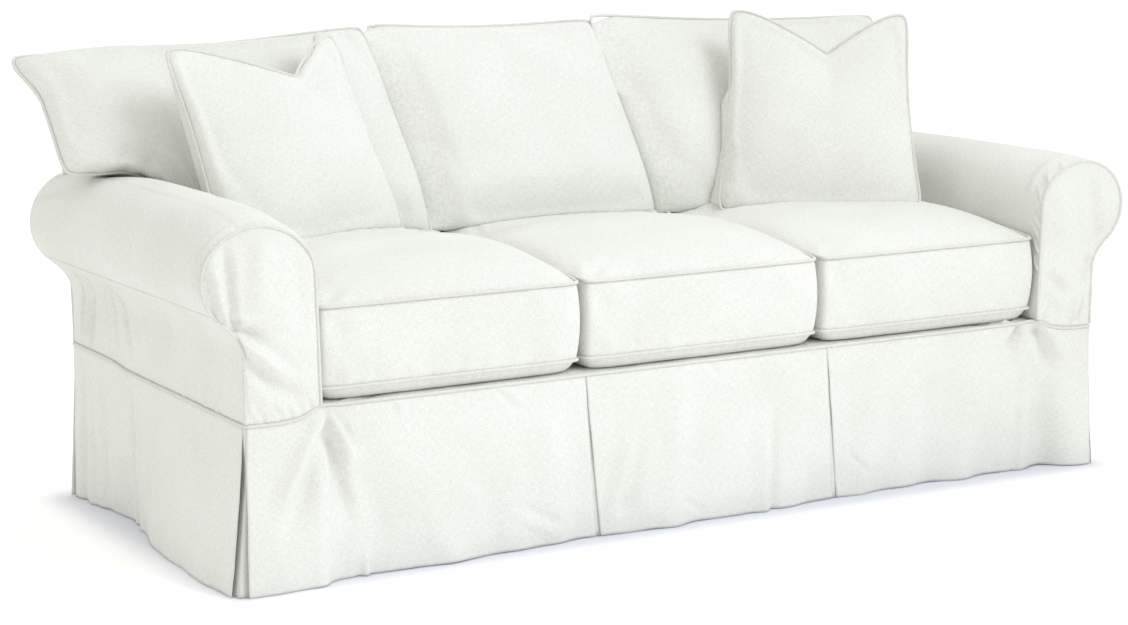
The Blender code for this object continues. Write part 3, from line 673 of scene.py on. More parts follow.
BACK_SKIRT_CREASES = creases(
    (-0.860, 0.300, -0.830, -0.080, 0.026, 0.0072, 1.0, 0.30, 0.10),
    (-0.640, 0.310, -0.660, -0.080, 0.024, -0.0072, 1.0, 0.30, 0.10),
    (-0.420, 0.310, -0.400, -0.080, 0.026, 0.0065, 1.0, 0.30, 0.10),
    (-0.120, 0.310, -0.140, -0.080, 0.026, -0.0065, 1.0, 0.30, 0.10),
    (0.090, 0.310, 0.110, -0.080, 0.026, 0.0072, 1.0, 0.30, 0.10),
    (0.430, 0.310, 0.410, -0.080, 0.024, -0.0065, 1.0, 0.30, 0.10),
    (0.660, 0.310, 0.680, -0.080, 0.026, 0.0072, 1.0, 0.30, 0.10),
    (0.860, 0.310, 0.850, -0.080, 0.022, -0.0065, 1.0, 0.30, 0.10),
)
LEFT_OUTSIDE_CREASES = creases(
    (0.343, 0.490, 0.372, 0.322, 0.0070, -0.0093, 1.4, 0.12, 0.30),
    (0.315, 0.490, 0.350, 0.322, 0.0080, 0.0077, 1.4, 0.12, 0.30),
    (0.280, 0.492, 0.330, 0.325, 0.0070, -0.0087, 1.4, 0.12, 0.35),
    (0.225, 0.494, 0.235, 0.330, 0.0090, 0.0067, 1.4, 0.12, 0.45),
    (0.198, 0.494, 0.180, 0.340, 0.0070, -0.0087, 1.4, 0.12, 0.45),
    (0.158, 0.492, 0.095, 0.330, 0.0080, -0.0077, 1.4, 0.12, 0.45),
    (0.060, 0.490, 0.020, 0.350, 0.0100, 0.0040, 1.4, 0.12, 0.50),
    (-0.080, 0.490, -0.100, 0.400, 0.0100, -0.0032, 1.4, 0.12, 0.50),
    (-0.150, 0.310, -0.168, 0.372, 0.0060, 0.0038, 1.0, 0.05, 0.60),
    (-0.190, 0.310, -0.214, 0.380, 0.0060, 0.0038, 1.0, 0.05, 0.60),
    (-0.250, 0.310, -0.284, 0.385, 0.0060, 0.0038, 1.0, 0.05, 0.60),
    (-0.300, 0.308, -0.336, 0.378, 0.0060, 0.0034, 1.0, 0.05, 0.60),
)
RIGHT_OUTSIDE_CREASES = creases(
    (-0.330, 0.492, -0.350, 0.330, 0.009, 0.0047, 1.4, 0.12, 0.40),
    (-0.180, 0.492, -0.150, 0.340, 0.009, -0.0050, 1.4, 0.12, 0.45),
    (-0.020, 0.492, -0.040, 0.330, 0.009, 0.0047, 1.4, 0.12, 0.40),
    (0.140, 0.492, 0.170, 0.330, 0.008, -0.0054, 1.4, 0.12, 0.40),
    (0.280, 0.492, 0.300, 0.325, 0.008, 0.0054, 1.4, 0.12, 0.30),
)
LEFT_ROLL_CREASES = creases(
    (0.030, 0.016, 0.640, 0.016, 0.006, 0.0047, 1.0, 0.10, 0.10, 0.15),
    (0.040, 0.030, 0.640, 0.032, 0.008, -0.0029, 1.0, 0.15, 0.10),
    (0.500, 0.860, 0.420, 0.640, 0.012, 0.0054, 1.0, 0.05, 0.60),
    (0.470, 0.860, 0.380, 0.660, 0.012, -0.0050, 1.0, 0.05, 0.60),
    (0.540, 0.860, 0.470, 0.650, 0.012, -0.0050, 1.0, 0.05, 0.60),
    (0.655, 0.700, 0.600, 0.560, 0.010, -0.0040, 1.0, 0.10, 0.50),
)
RIGHT_ROLL_CREASES = creases(
    (0.110, 0.000, 0.150, 0.036, 0.004, 0.0054, 1.8, 0.05, 0.70),
    (0.150, 0.000, 0.190, 0.042, 0.004, 0.0061, 1.8, 0.05, 0.70),
    (0.180, 0.000, 0.224, 0.048, 0.004, 0.0065, 1.8, 0.05, 0.70),
    (0.206, 0.000, 0.252, 0.050, 0.004, 0.0065, 1.8, 0.05, 0.70),
    (0.232, 0.000, 0.276, 0.046, 0.004, 0.0058, 1.8, 0.05, 0.70),
    (0.262, 0.000, 0.304, 0.044, 0.004, 0.0050, 1.8, 0.05, 0.70),
    (0.310, 0.000, 0.348, 0.050, 0.006, 0.0043, 1.8, 0.05, 0.70),
    (0.360, 0.000, 0.392, 0.050, 0.006, 0.0040, 1.8, 0.05, 0.70),
    (0.250, 0.060, 0.470, 0.052, 0.012, 0.0040, 1.0, 0.30, 0.30),
)
LEFT_SCROLL_CREASES = creases(
    (-1.034, 0.655, -1.021, 0.486, 0.0120, -0.0087, 0.7, 0.30, 0.10),
    (-1.060, 0.620, -1.030, 0.492, 0.0140, 0.0085, 0.7, 0.30, 0.20),
    (-0.962, 0.660, -0.968, 0.500, 0.0220, 0.0073, 1.0, 0.20, 0.30),
    (-0.900, 0.660, -0.880, 0.420, 0.018, -0.0040, 1.0, 0.30, 0.40),
    (-1.020, 0.487, -0.945, 0.462, 0.0080, -0.0109, 2.2, 0.08, 0.60),
    (-1.016, 0.482, -0.885, 0.352, 0.0090, 0.0109, 1.8, 0.08, 0.45),
    (-0.998, 0.430, -0.876, 0.340, 0.0140, -0.0097, 1.3, 0.30, 0.30),
    (-0.995, 0.352, -0.968, 0.318, 0.0050, 0.0030, 1.0, 0.30, 0.10),
    (-0.985, 0.345, -0.957, 0.314, 0.0050, -0.0030, 1.0, 0.30, 0.10),
    (-0.950, 0.352, -0.925, 0.316, 0.0050, -0.0026, 1.0, 0.30, 0.10),
    (-0.912, 0.345, -0.892, 0.314, 0.0050, 0.0028, 1.0, 0.30, 0.10),
    (-0.880, 0.350, -0.858, 0.322, 0.0050, -0.0028, 1.0, 0.30, 0.10),
)
RIGHT_SCROLL_CREASES = creases(
    (0.985, 0.640, 1.012, 0.492, 0.0140, -0.0095, 0.8, 0.30, 0.15),
    (0.900, 0.640, 0.905, 0.480, 0.0240, 0.0071, 1.0, 0.30, 0.30),
    (0.990, 0.470, 0.968, 0.380, 0.0090, -0.0095, 1.4, 0.20, 0.40),
    (0.865, 0.440, 0.930, 0.372, 0.0120, -0.0075, 1.4, 0.20, 0.40),
    (0.870, 0.410, 0.930, 0.345, 0.0100, 0.0071, 1.4, 0.20, 0.40),
    (0.940, 0.322, 0.972, 0.392, 0.0060, 0.0073, 1.0, 0.10, 0.50),
    (0.956, 0.322, 0.984, 0.385, 0.0060, -0.0065, 1.0, 0.10, 0.50),
    (0.862, 0.330, 0.880, 0.362, 0.0050, -0.0057, 1.0, 0.10, 0.50),
)
DECK_CREASES = creases(
    (1.640, 0.002, 1.560, 0.060, 0.006, 0.0090, 1.0, 0.05, 0.60),
    (1.665, 0.002, 1.610, 0.070, 0.006, -0.0072, 1.0, 0.05, 0.60),
    (1.600, 0.002, 1.520, 0.040, 0.006, -0.0054, 1.0, 0.05, 0.60),
    (0.050, 0.002, 0.110, 0.050, 0.0060, 0.0036, 1.0, 0.05, 0.60),
    (0.090, 0.002, 0.150, 0.040, 0.0060, -0.0027, 1.0, 0.05, 0.60),
)
SEAT_TOP_CREASES = creases(
    (0.008, 0.010, 0.070, 0.050, 0.007, -0.0072, 2.0, 0.10, 0.60),
    (0.008, 0.026, 0.050, 0.090, 0.007, 0.0043, 2.0, 0.10, 0.60),
    (0.020, 0.000, 0.090, 0.024, 0.006, 0.0043, 1.6, 0.10, 0.60),
    (0.120, 0.180, 0.400, 0.240, 0.050, -0.0054, 1.0, 0.40, 0.40),
    (0.380, 0.080, 0.500, 0.200, 0.040, 0.0036, 1.0, 0.40, 0.40),
)
SEAT_FRONT_CREASES = creases(
    (0.060, 0.000, 0.052, 0.060, 0.0120, 0.0042, 1.0, 0.10, 0.60),
    (0.110, 0.000, 0.118, 0.050, 0.0120, -0.0038, 1.0, 0.10, 0.60),
    (0.200, 0.000, 0.194, 0.045, 0.0120, 0.0033, 1.0, 0.10, 0.60),
    (0.290, 0.000, 0.300, 0.055, 0.0120, -0.0038, 1.0, 0.10, 0.60),
    (0.360, 0.000, 0.352, 0.050, 0.0120, 0.0038, 1.0, 0.10, 0.60),
    (0.440, 0.000, 0.452, 0.060, 0.0120, -0.0038, 1.0, 0.10, 0.60),
    (0.500, 0.000, 0.494, 0.050, 0.0120, 0.0038, 1.0, 0.10, 0.60),
    (0.030, 0.140, 0.048, 0.060, 0.0200, -0.0052, 1.0, 0.10, 0.60),
    (0.470, 0.146, 0.452, 0.080, 0.0200, 0.0042, 1.0, 0.10, 0.60),
)
LEFT_BACK_CREASES = creases(
    (0.118, 0.004, 0.215, 0.052, 0.006, -0.0081, 1.4, 0.15, 0.40),
    (0.130, -0.006, 0.225, 0.030, 0.007, 0.0065, 1.4, 0.15, 0.40),
    (0.185, 0.010, 0.260, 0.060, 0.006, 0.0061, 1.4, 0.15, 0.40),
    (0.012, 0.004, 0.018, 0.030, 0.006, 0.0047, 1.0, 0.10, 0.60),
    (0.034, 0.004, 0.044, 0.028, 0.006, -0.0043, 1.0, 0.10, 0.60),
    (0.056, 0.004, 0.064, 0.026, 0.006, 0.0043, 1.0, 0.10, 0.60),
    (-0.016, 0.246, 0.070, 0.232, 0.008, 0.0065, 1.8, 0.10, 0.60),
    (-0.010, 0.232, 0.050, 0.200, 0.008, -0.0054, 1.8, 0.10, 0.60),
    (0.080, 0.180, 0.240, 0.120, 0.030, -0.0045, 1.0, 0.40, 0.40),
    (0.690, 0.270, 0.640, 0.210, 0.008, -0.0065, 1.8, 0.10, 0.60),
)
MIDDLE_BACK_CREASES = creases(
    (-0.060, 0.440, 0.030, 0.385, 0.009, -0.0072, 2.2, 0.10, 0.60),
    (-0.060, 0.425, -0.010, 0.340, 0.009, 0.0061, 2.2, 0.10, 0.60),
    (0.480, 0.445, 0.400, 0.395, 0.009, -0.0061, 2.2, 0.10, 0.60),
    (-0.020, 0.230, 0.060, 0.190, 0.008, -0.0050, 1.8, 0.10, 0.60),
    (0.000, 0.090, 0.090, 0.130, 0.008, -0.0061, 1.8, 0.10, 0.60),
    (0.010, 0.040, 0.110, 0.070, 0.008, 0.0054, 1.8, 0.10, 0.60),
    (0.130, 0.110, 0.260, 0.050, 0.008, -0.0040, 1.5, 0.30, 0.50),
    (0.560, 0.060, 0.460, 0.110, 0.010, -0.0054, 1.8, 0.10, 0.60),
    (0.050, 0.455, 0.060, 0.420, 0.008, -0.0047, 1.0, 0.05, 0.60),
    (0.160, 0.455, 0.165, 0.425, 0.008, -0.0043, 1.0, 0.05, 0.60),
    (0.300, 0.455, 0.296, 0.420, 0.008, -0.0047, 1.0, 0.05, 0.60),
)
RIGHT_BACK_CREASES = creases(
    (-0.055, 0.435, 0.020, 0.385, 0.008, -0.0065, 2.0, 0.10, 0.60),
    (-0.040, 0.370, 0.030, 0.372, 0.006, -0.0058, 1.6, 0.10, 0.60),
    (-0.036, 0.350, 0.040, 0.310, 0.007, -0.0061, 1.8, 0.10, 0.60),
    (-0.036, 0.335, 0.026, 0.300, 0.007, 0.0054, 1.8, 0.10, 0.60),
    (0.200, 0.450, 0.212, 0.010, 0.0420, -0.0159, 1.0, 0.15, 0.20),
    (0.000, 0.050, 0.070, 0.090, 0.009, -0.0054, 1.8, 0.10, 0.60),
)
LEFT_PILLOW_CREASES = creases(
    (0.312, 0.440, 0.405, 0.300, 0.018, -0.0300, 0.8, 0.10, 0.40, 0.10),
    (0.250, 0.415, 0.365, 0.285, 0.022, 0.0150, 0.8, 0.20, 0.40, 0.0),
    (0.345, 0.335, 0.380, 0.250, 0.010, -0.0072, 1.0, 0.30, 0.50),
    (0.010, 0.385, 0.070, 0.335, 0.009, -0.0065, 2.0, 0.10, 0.60),
    (0.020, 0.330, 0.110, 0.322, 0.008, -0.0047, 1.8, 0.15, 0.60),
    (0.440, 0.020, 0.370, 0.080, 0.010, -0.0054, 1.8, 0.10, 0.60),
    (0.010, 0.030, 0.090, 0.070, 0.010, -0.0054, 1.8, 0.10, 0.60),
)
RIGHT_PILLOW_CREASES = creases(
    (0.246, 0.345, 0.258, 0.240, 0.012, -0.0110, 1.8, 0.05, 0.60, 0.15),
    (0.120, 0.380, 0.160, 0.270, 0.008, -0.0065, 1.4, 0.25, 0.45),
    (0.150, 0.330, 0.220, 0.352, 0.007, -0.0054, 1.4, 0.25, 0.45),
    (0.100, 0.370, 0.135, 0.260, 0.010, 0.0054, 1.4, 0.25, 0.45),
    (0.428, 0.215, 0.370, 0.255, 0.007, -0.0065, 1.8, 0.08, 0.60),
    (0.010, 0.020, 0.080, 0.060, 0.009, -0.0061, 1.8, 0.10, 0.60),
    (0.030, 0.000, 0.044, 0.036, 0.008, 0.0047, 1.0, 0.10, 0.60),
    (0.110, 0.000, 0.116, 0.040, 0.008, -0.0047, 1.0, 0.10, 0.60),
    (0.200, 0.000, 0.205, 0.036, 0.008, 0.0043, 1.0, 0.10, 0.60),
    (0.310, 0.000, 0.306, 0.040, 0.008, -0.0043, 1.0, 0.10, 0.60),
    (0.430, 0.020, 0.370, 0.060, 0.009, -0.0054, 1.8, 0.10, 0.60),
)


def finish_piece(piece: bpy.types.Object, nodes: Sequence[str]) -> None:
    """Puts a piece in the place of its CAD nodes.

    Args:
        piece: the new piece.
        nodes: the nodes that it stands for.
    """
    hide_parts(*nodes)
    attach(piece, "root")
    for face in piece.data.polygons:
        face.use_smooth = True
    LOG.info("%s: %d faces", piece.name, len(piece.data.polygons))


def new_object(name: str, shape: bmesh.types.BMesh) -> bpy.types.Object:
    """Links a bmesh as a new object of that name and frees it."""
    mesh = bpy.data.meshes.new(name)
    shape.to_mesh(mesh)
    shape.free()
    piece = bpy.data.objects.new(name, mesh)
    bpy.context.scene.collection.objects.link(piece)
    return piece


@dataclass
class Cloth:
    """One cut piece of cloth, laid by a function of its two directions, creased, and given its thickness."""

    node: str
    columns: int
    rows: int
    place: Place
    outward: tuple[float, float, float]
    flat: tuple[float, float]
    held: Held
    rests_on: tuple[str, ...]
    area: float | None = None
    chart: Chart = Chart.FLAT
    creases: Sequence[Crease] = ()
    sewn: Edges = Edges()
    uneven: float = 0.0008
    ripple: float = 0.09  # size of the unevenness
    fine_share: float = 0.4  # a finer unevenness on top of it
    fine_scale: float = 2.7
    crowd: float = 1.0  # above 1, rows crowd towards the low edge
    name: str = ""

    def charted(self, point: Vector, u: float, v: float) -> tuple[float, float]:
        """A place's two measures in the sheet's chart."""
        if self.chart is Chart.FRONT:
            return point.x, point.z
        if self.chart is Chart.SIDE:
            return point.y, point.z
        return u * self.flat[0], v * self.flat[1]

    def hold(self, u: float, v: float) -> float:
        """How free the cloth is at a place: 0 in a seam, 1 away from all seams."""
        free = 1.0
        gaps = (u * self.flat[0], (1 - u) * self.flat[0], v * self.flat[1], (1 - v) * self.flat[1])
        for gap, reach in zip(gaps, self.sewn):
            if reach:
                free *= smooth(gap / reach)
        return free

    def build(self) -> bpy.types.Object:
        """Makes the sheet as an object and puts it in its node's place.

        Returns:
            The finished piece.
        """
        shape = bmesh.new()
        bmesh.ops.create_grid(shape, x_segments=self.columns, y_segments=self.rows, size=0.5)
        where = {vert.index: (vert.co.x + 0.5, (vert.co.y + 0.5) ** self.crowd) for vert in shape.verts}

        def measures(corner: bmesh.types.BMLoop) -> tuple[float, float]:
            """A corner's lengths across the panel and up it."""
            u, v = where[corner.vert.index]
            return u * self.flat[0], v * self.flat[1]

        lay_threads(shape, measures)
        for vert in shape.verts:
            vert.co = self.place(*where[vert.index])
        shape.normal_update()
        facing = sum(face.normal.dot(Vector(self.outward)) * face.calc_area() for face in shape.faces)
        if facing < 0:
            bmesh.ops.reverse_faces(shape, faces=shape.faces)
            shape.normal_update()
        moves = []
        for vert in shape.verts:
            u, v = where[vert.index]
            a, b = self.charted(vert.co, u, v)
            lift = sum(crease.lift(a, b) for crease in self.creases)
            lift += self.uneven * noise.noise(vert.co / self.ripple)
            lift += self.uneven * self.fine_share * noise.noise(vert.co / self.ripple * self.fine_scale)
            moves.append(vert.co + vert.normal * lift * self.hold(u, v) + CENTRE)
        for vert, move in zip(shape.verts, moves):
            vert.co = move
        piece = new_object(self.name or f"cloth_{self.node}", shape)
        wall = piece.modifiers.new("cloth", "SOLIDIFY")
        wall.thickness = CLOTH
        wall.offset = -1
        CANVAS.dress(piece)
        finish_piece(piece, [self.node])
        list(self.rests_on)
        return piece


@dataclass
class Welt:
    """Cord covered with a bias strip of the same cloth, sewn into a seam."""

    node: str
    path: Sequence[Vector]
    across: Vector  # a direction that the path never runs along
    closed: bool = True
    sides: int = 10
    stretch: float = 0.006  # between rings
    lump: float = 0.07  # share by which the cord's thickness varies
    lumps: float = 55.0  # in a metre

    def build(self) -> bpy.types.Object:
        """Makes the welt as a tube, capped where it ends, and puts it in its node's place."""
        points = list(self.path) + ([self.path[0]] if self.closed else [])
        length = sum((b - a).length for a, b in zip(points, points[1:]))
        rings = round(length / self.stretch)
        points = resample(points, rings)
        headings = []
        for i in range(rings + 1):
            before, after = points[max(i - 1, 0)], points[min(i + 1, rings)]
            if self.closed and i in (0, rings):
                before, after = points[rings - 1], points[1]
            headings.append((after - before).normalized())
        shape = bmesh.new()
        bmesh.ops.create_grid(shape, x_segments=self.sides, y_segments=rings, size=0.5)
        where = {vert.index: (vert.co.x + 0.5, vert.co.y + 0.5) for vert in shape.verts}

        def measures(corner: bmesh.types.BMLoop) -> tuple[float, float]:
            """A corner's lengths round the cord and along it."""
            u, v = where[corner.vert.index]
            return u * math.tau * WELT_R, v * length

        lay_threads(shape, measures)
        for vert in shape.verts:
            u, v = where[vert.index]
            ring = round(v * rings)
            middle, heading = points[ring], headings[ring]
            out = heading.cross(self.across).normalized()
            up = out.cross(heading)
            turn = u * math.tau
            radius = WELT_R * (1 + self.lump * noise.noise(middle * self.lumps))
            vert.co = middle + (out * math.cos(turn) + up * math.sin(turn)) * radius + CENTRE
        bmesh.ops.remove_doubles(shape, verts=shape.verts, dist=1e-6)
        if not self.closed:
            bmesh.ops.holes_fill(shape, edges=shape.edges, sides=0)
        bmesh.ops.recalc_face_normals(shape, faces=shape.faces)
        piece = new_object(f"cord_{self.node}", shape)
        # darker than the canvas: painted shade along the seam
        BIAS_WITH_PAINTED_SHADE.dress(piece)
        finish_piece(piece, [self.node])
        return piece


# Filled pieces.


@dataclass
class Stuffing:
    """A filled cover while it is blown up from its sewn shape."""

    piece: bpy.types.Object
    cut: list[Vector]  # where the cloth would lie at its cut size, before it is filled
    pinned: list[int]  # points held by the welts
    pressure: float
    most: float  # how far filling may move a point
    start: list[Vector] = field(default_factory=list)

    def prepare(self) -> None:
        """Gives the cover its cloth settings."""
        mesh = self.piece.data
        self.start = [vert.co.copy() for vert in mesh.vertices]
        self.piece.shape_key_add(name="sewn")
        cut = self.piece.shape_key_add(name="cut")
        for point, place in zip(cut.data, self.cut):
            point.co = place
        held = self.piece.vertex_groups.new(name="welts")
        held.add(self.pinned, 1.0, "REPLACE")
        cloth = self.piece.modifiers.new("filling", "CLOTH")
        settings = cloth.settings
        settings.quality = 6
        settings.mass = 0.3
        settings.tension_stiffness = 18
        settings.compression_stiffness = 10
        settings.shear_stiffness = 6
        settings.bending_stiffness = 1.2
        settings.air_damping = 4
        settings.effector_weights.gravity = 0
        settings.use_pressure = True
        settings.uniform_pressure_force = self.pressure
        settings.vertex_group_mass = "welts"
        settings.rest_shape_key = cut
        cloth.collision_settings.use_collision = False

    def settle(self) -> None:
        """Takes the blown-up shape, capped, and drops the cloth settings."""
        graph = bpy.context.evaluated_depsgraph_get()
        shown = self.piece.evaluated_get(graph).data
        held = set(self.pinned)
        places = []
        for i, (vert, start) in enumerate(zip(shown.vertices, self.start)):
            move = vert.co - start
            if i in held:
                move = Vector()
            elif move.length > self.most:
                move = move.normalized() * self.most
            places.append(start + move)
        self.piece.modifiers.clear()
        self.piece.shape_key_clear()
        self.piece.vertex_groups.clear()
        for vert, place in zip(self.piece.data.vertices, places):
            vert.co = place


def blow_up(covers: Sequence[Stuffing], frames: int = 18) -> None:
    """Fills all the covers at once.

    Args:
        covers: the covers to fill.
        frames: how many steps to run.
    """
    for cover in covers:
        cover.prepare()
    scene = bpy.context.scene
    for frame in range(1, frames + 1):
        scene.frame_set(frame)
    for cover in covers:
        cover.settle()
    scene.frame_set(1)


def lattice(across: int, deep: int, tall: int) -> bmesh.types.BMesh:
    """A unit cube whose edges are cut into that many stretches along X, Y and Z."""
    shape = bmesh.new()
    bmesh.ops.create_cube(shape, size=1.0)
    for axis, count in enumerate((across, deep, tall)):
        if count < 2:
            continue
        edges = []
        for edge in shape.edges:
            run = edge.verts[1].co - edge.verts[0].co
            if abs(run[axis]) > 0.9:
                edges.append(edge)
        bmesh.ops.subdivide_edges(shape, edges=edges, cuts=count - 1, use_grid_fill=True)
    return shape


def keep_clear(piece: bpy.types.Object, others: Sequence[bpy.types.Object], gap: float, reach: float) -> None:
    """Presses a soft piece back wherever it has sunk into what it lies on.

    Args:
        piece: the soft piece.
        others: closed or thick pieces that it touches.
        gap: the least space to leave.
        reach: how deep a point may have sunk and still be found.
    """
    bpy.context.view_layer.update()
    graph = bpy.context.evaluated_depsgraph_get()
    for other in others:
        tree = BVHTree.FromObject(other, graph)
        for vert in piece.data.vertices:
            hit, normal, _, far = tree.find_nearest(vert.co, reach)
            if hit is None:
                continue
            depth = (vert.co - hit).dot(normal)
            if depth < gap and far < reach:
                vert.co = hit + normal * gap


def soften(piece: bpy.types.Object) -> None:
    """Rounds a filled piece between its points."""
    rounded = piece.modifiers.new("rounded", "SUBSURF")
    rounded.levels = rounded.render_levels = 1


@dataclass
class KnifeEdge:
    """A filled cover of two faces sewn together round a welt."""

    node: str
    welt_node: str
    columns: int
    rows: int
    seam: Place  # the surface that the seam lies in
    dome: Callable[[float, float], tuple[float, float]]  # how far the front and the rear stand out from it
    normal: Vector
    flat: tuple[float, float]
    slack: float
    pressure: float
    most: float
    fill: float
    round_share: float = 0.05
    belly: float = 0.0  # how far the foot of the front hangs below the seam
    edge: float = 0.0016  # half of the seam's thickness
    uneven: float = 0.0006
    ripple: float = 0.05  # size of the unevenness
    creases: Sequence[Crease] = ()
    shift: Vector = field(default_factory=Vector)  # settled from where it was sewn
    piece: bpy.types.Object | None = None

    def cornered(self, u: float, v: float) -> Vector:
        """The seam's surface with its corners rounded off."""
        a, b = 2 * u - 1, 2 * v - 1
        a, b = (
            a * (1 - self.round_share * abs(b) ** CORNER_POWER),
            b * (1 - self.round_share * abs(a) ** CORNER_POWER),
        )
        return self.seam((a + 1) / 2, (b + 1) / 2)

    def outline(self, count: int = 60) -> list[Vector]:
        """Where the welt's centre runs, round the cover's edge."""
        points = [self.cornered(u, v) for u, v in round_edge(count)]
        out = [heading.cross(self.normal).normalized() for heading in headings_round(points)]
        return [point + way * WELT_OFF for point, way in zip(points, out)]

    def build(self) -> Stuffing:
        """Makes the sewn cover, ready to be filled.

        Returns:
            The cover's filling.
        """
        shape = lattice(self.columns, self.rows, 1)
        where = {vert.index: (vert.co.x + 0.5, vert.co.y + 0.5, vert.co.z < 0) for vert in shape.verts}

        def measures(corner: bmesh.types.BMLoop) -> tuple[float, float]:
            """A corner's lengths along the cover's front or its rear, which are charted apart."""
            u, v, front = where[corner.vert.index]
            return u * self.flat[0] + (0 if front else 2), v * self.flat[1]

        lay_threads(shape, measures)
        middle = self.cornered(0.5, 0.5)
        cut, pinned = [], []
        for vert in shape.verts:
            u, v, front = where[vert.index]
            on_seam = self.cornered(u, v)
            lifts = self.dome(u, v)
            lift = self.edge + (lifts[0] if front else lifts[1])
            way = self.normal if front else -self.normal
            vert.co = on_seam + way * lift + CENTRE + self.shift
            if front:
                vert.co.z -= self.belly * min(lifts[0] / 0.05, 1.0) * (1 - v) ** 4
            cut.append(middle + (on_seam - middle) * (1 + self.slack) + way * self.edge + CENTRE + self.shift)
            if min(u, v, 1 - u, 1 - v) < ON_EDGE:
                pinned.append(vert.index)
        bmesh.ops.recalc_face_normals(shape, faces=shape.faces)
        self.piece = new_object(f"cover_{self.node}", shape)
        return Stuffing(self.piece, cut, pinned, self.pressure, self.most)

    def finish(self, others: Sequence[bpy.types.Object]) -> None:
        """Creases the filled cover, presses it clear of its neighbours, dresses it and adds its welt.

        Args:
            others: the pieces that it lies against.
        """
        mesh = self.piece.data
        across = (self.seam(1.0, 0.5) - self.seam(0.0, 0.5)).normalized()
        upward = self.normal.cross(across)
        upward = upward if upward.z > 0 else -upward
        origin = self.seam(0.0, 0.0) + CENTRE + self.shift
        normals = [vert.normal.copy() for vert in mesh.vertices]
        for vert, normal in zip(mesh.vertices, normals):
            off = vert.co - origin
            a, b = off.dot(across), off.dot(upward)
            if normal.dot(self.normal) > 0.1:
                lift = sum(crease.lift(a, b) for crease in self.creases)
                vert.co += normal * lift
            vert.co += normal * self.uneven * noise.noise(vert.co / self.ripple)
        keep_clear(self.piece, others, gap=0.0006, reach=0.05)
        soften(self.piece)
        CANVAS.dress(self.piece)
        finish_piece(self.piece, [self.node])
        Welt(self.welt_node, [point + self.shift for point in self.outline()], self.normal).build()


# Sub-assemblies.


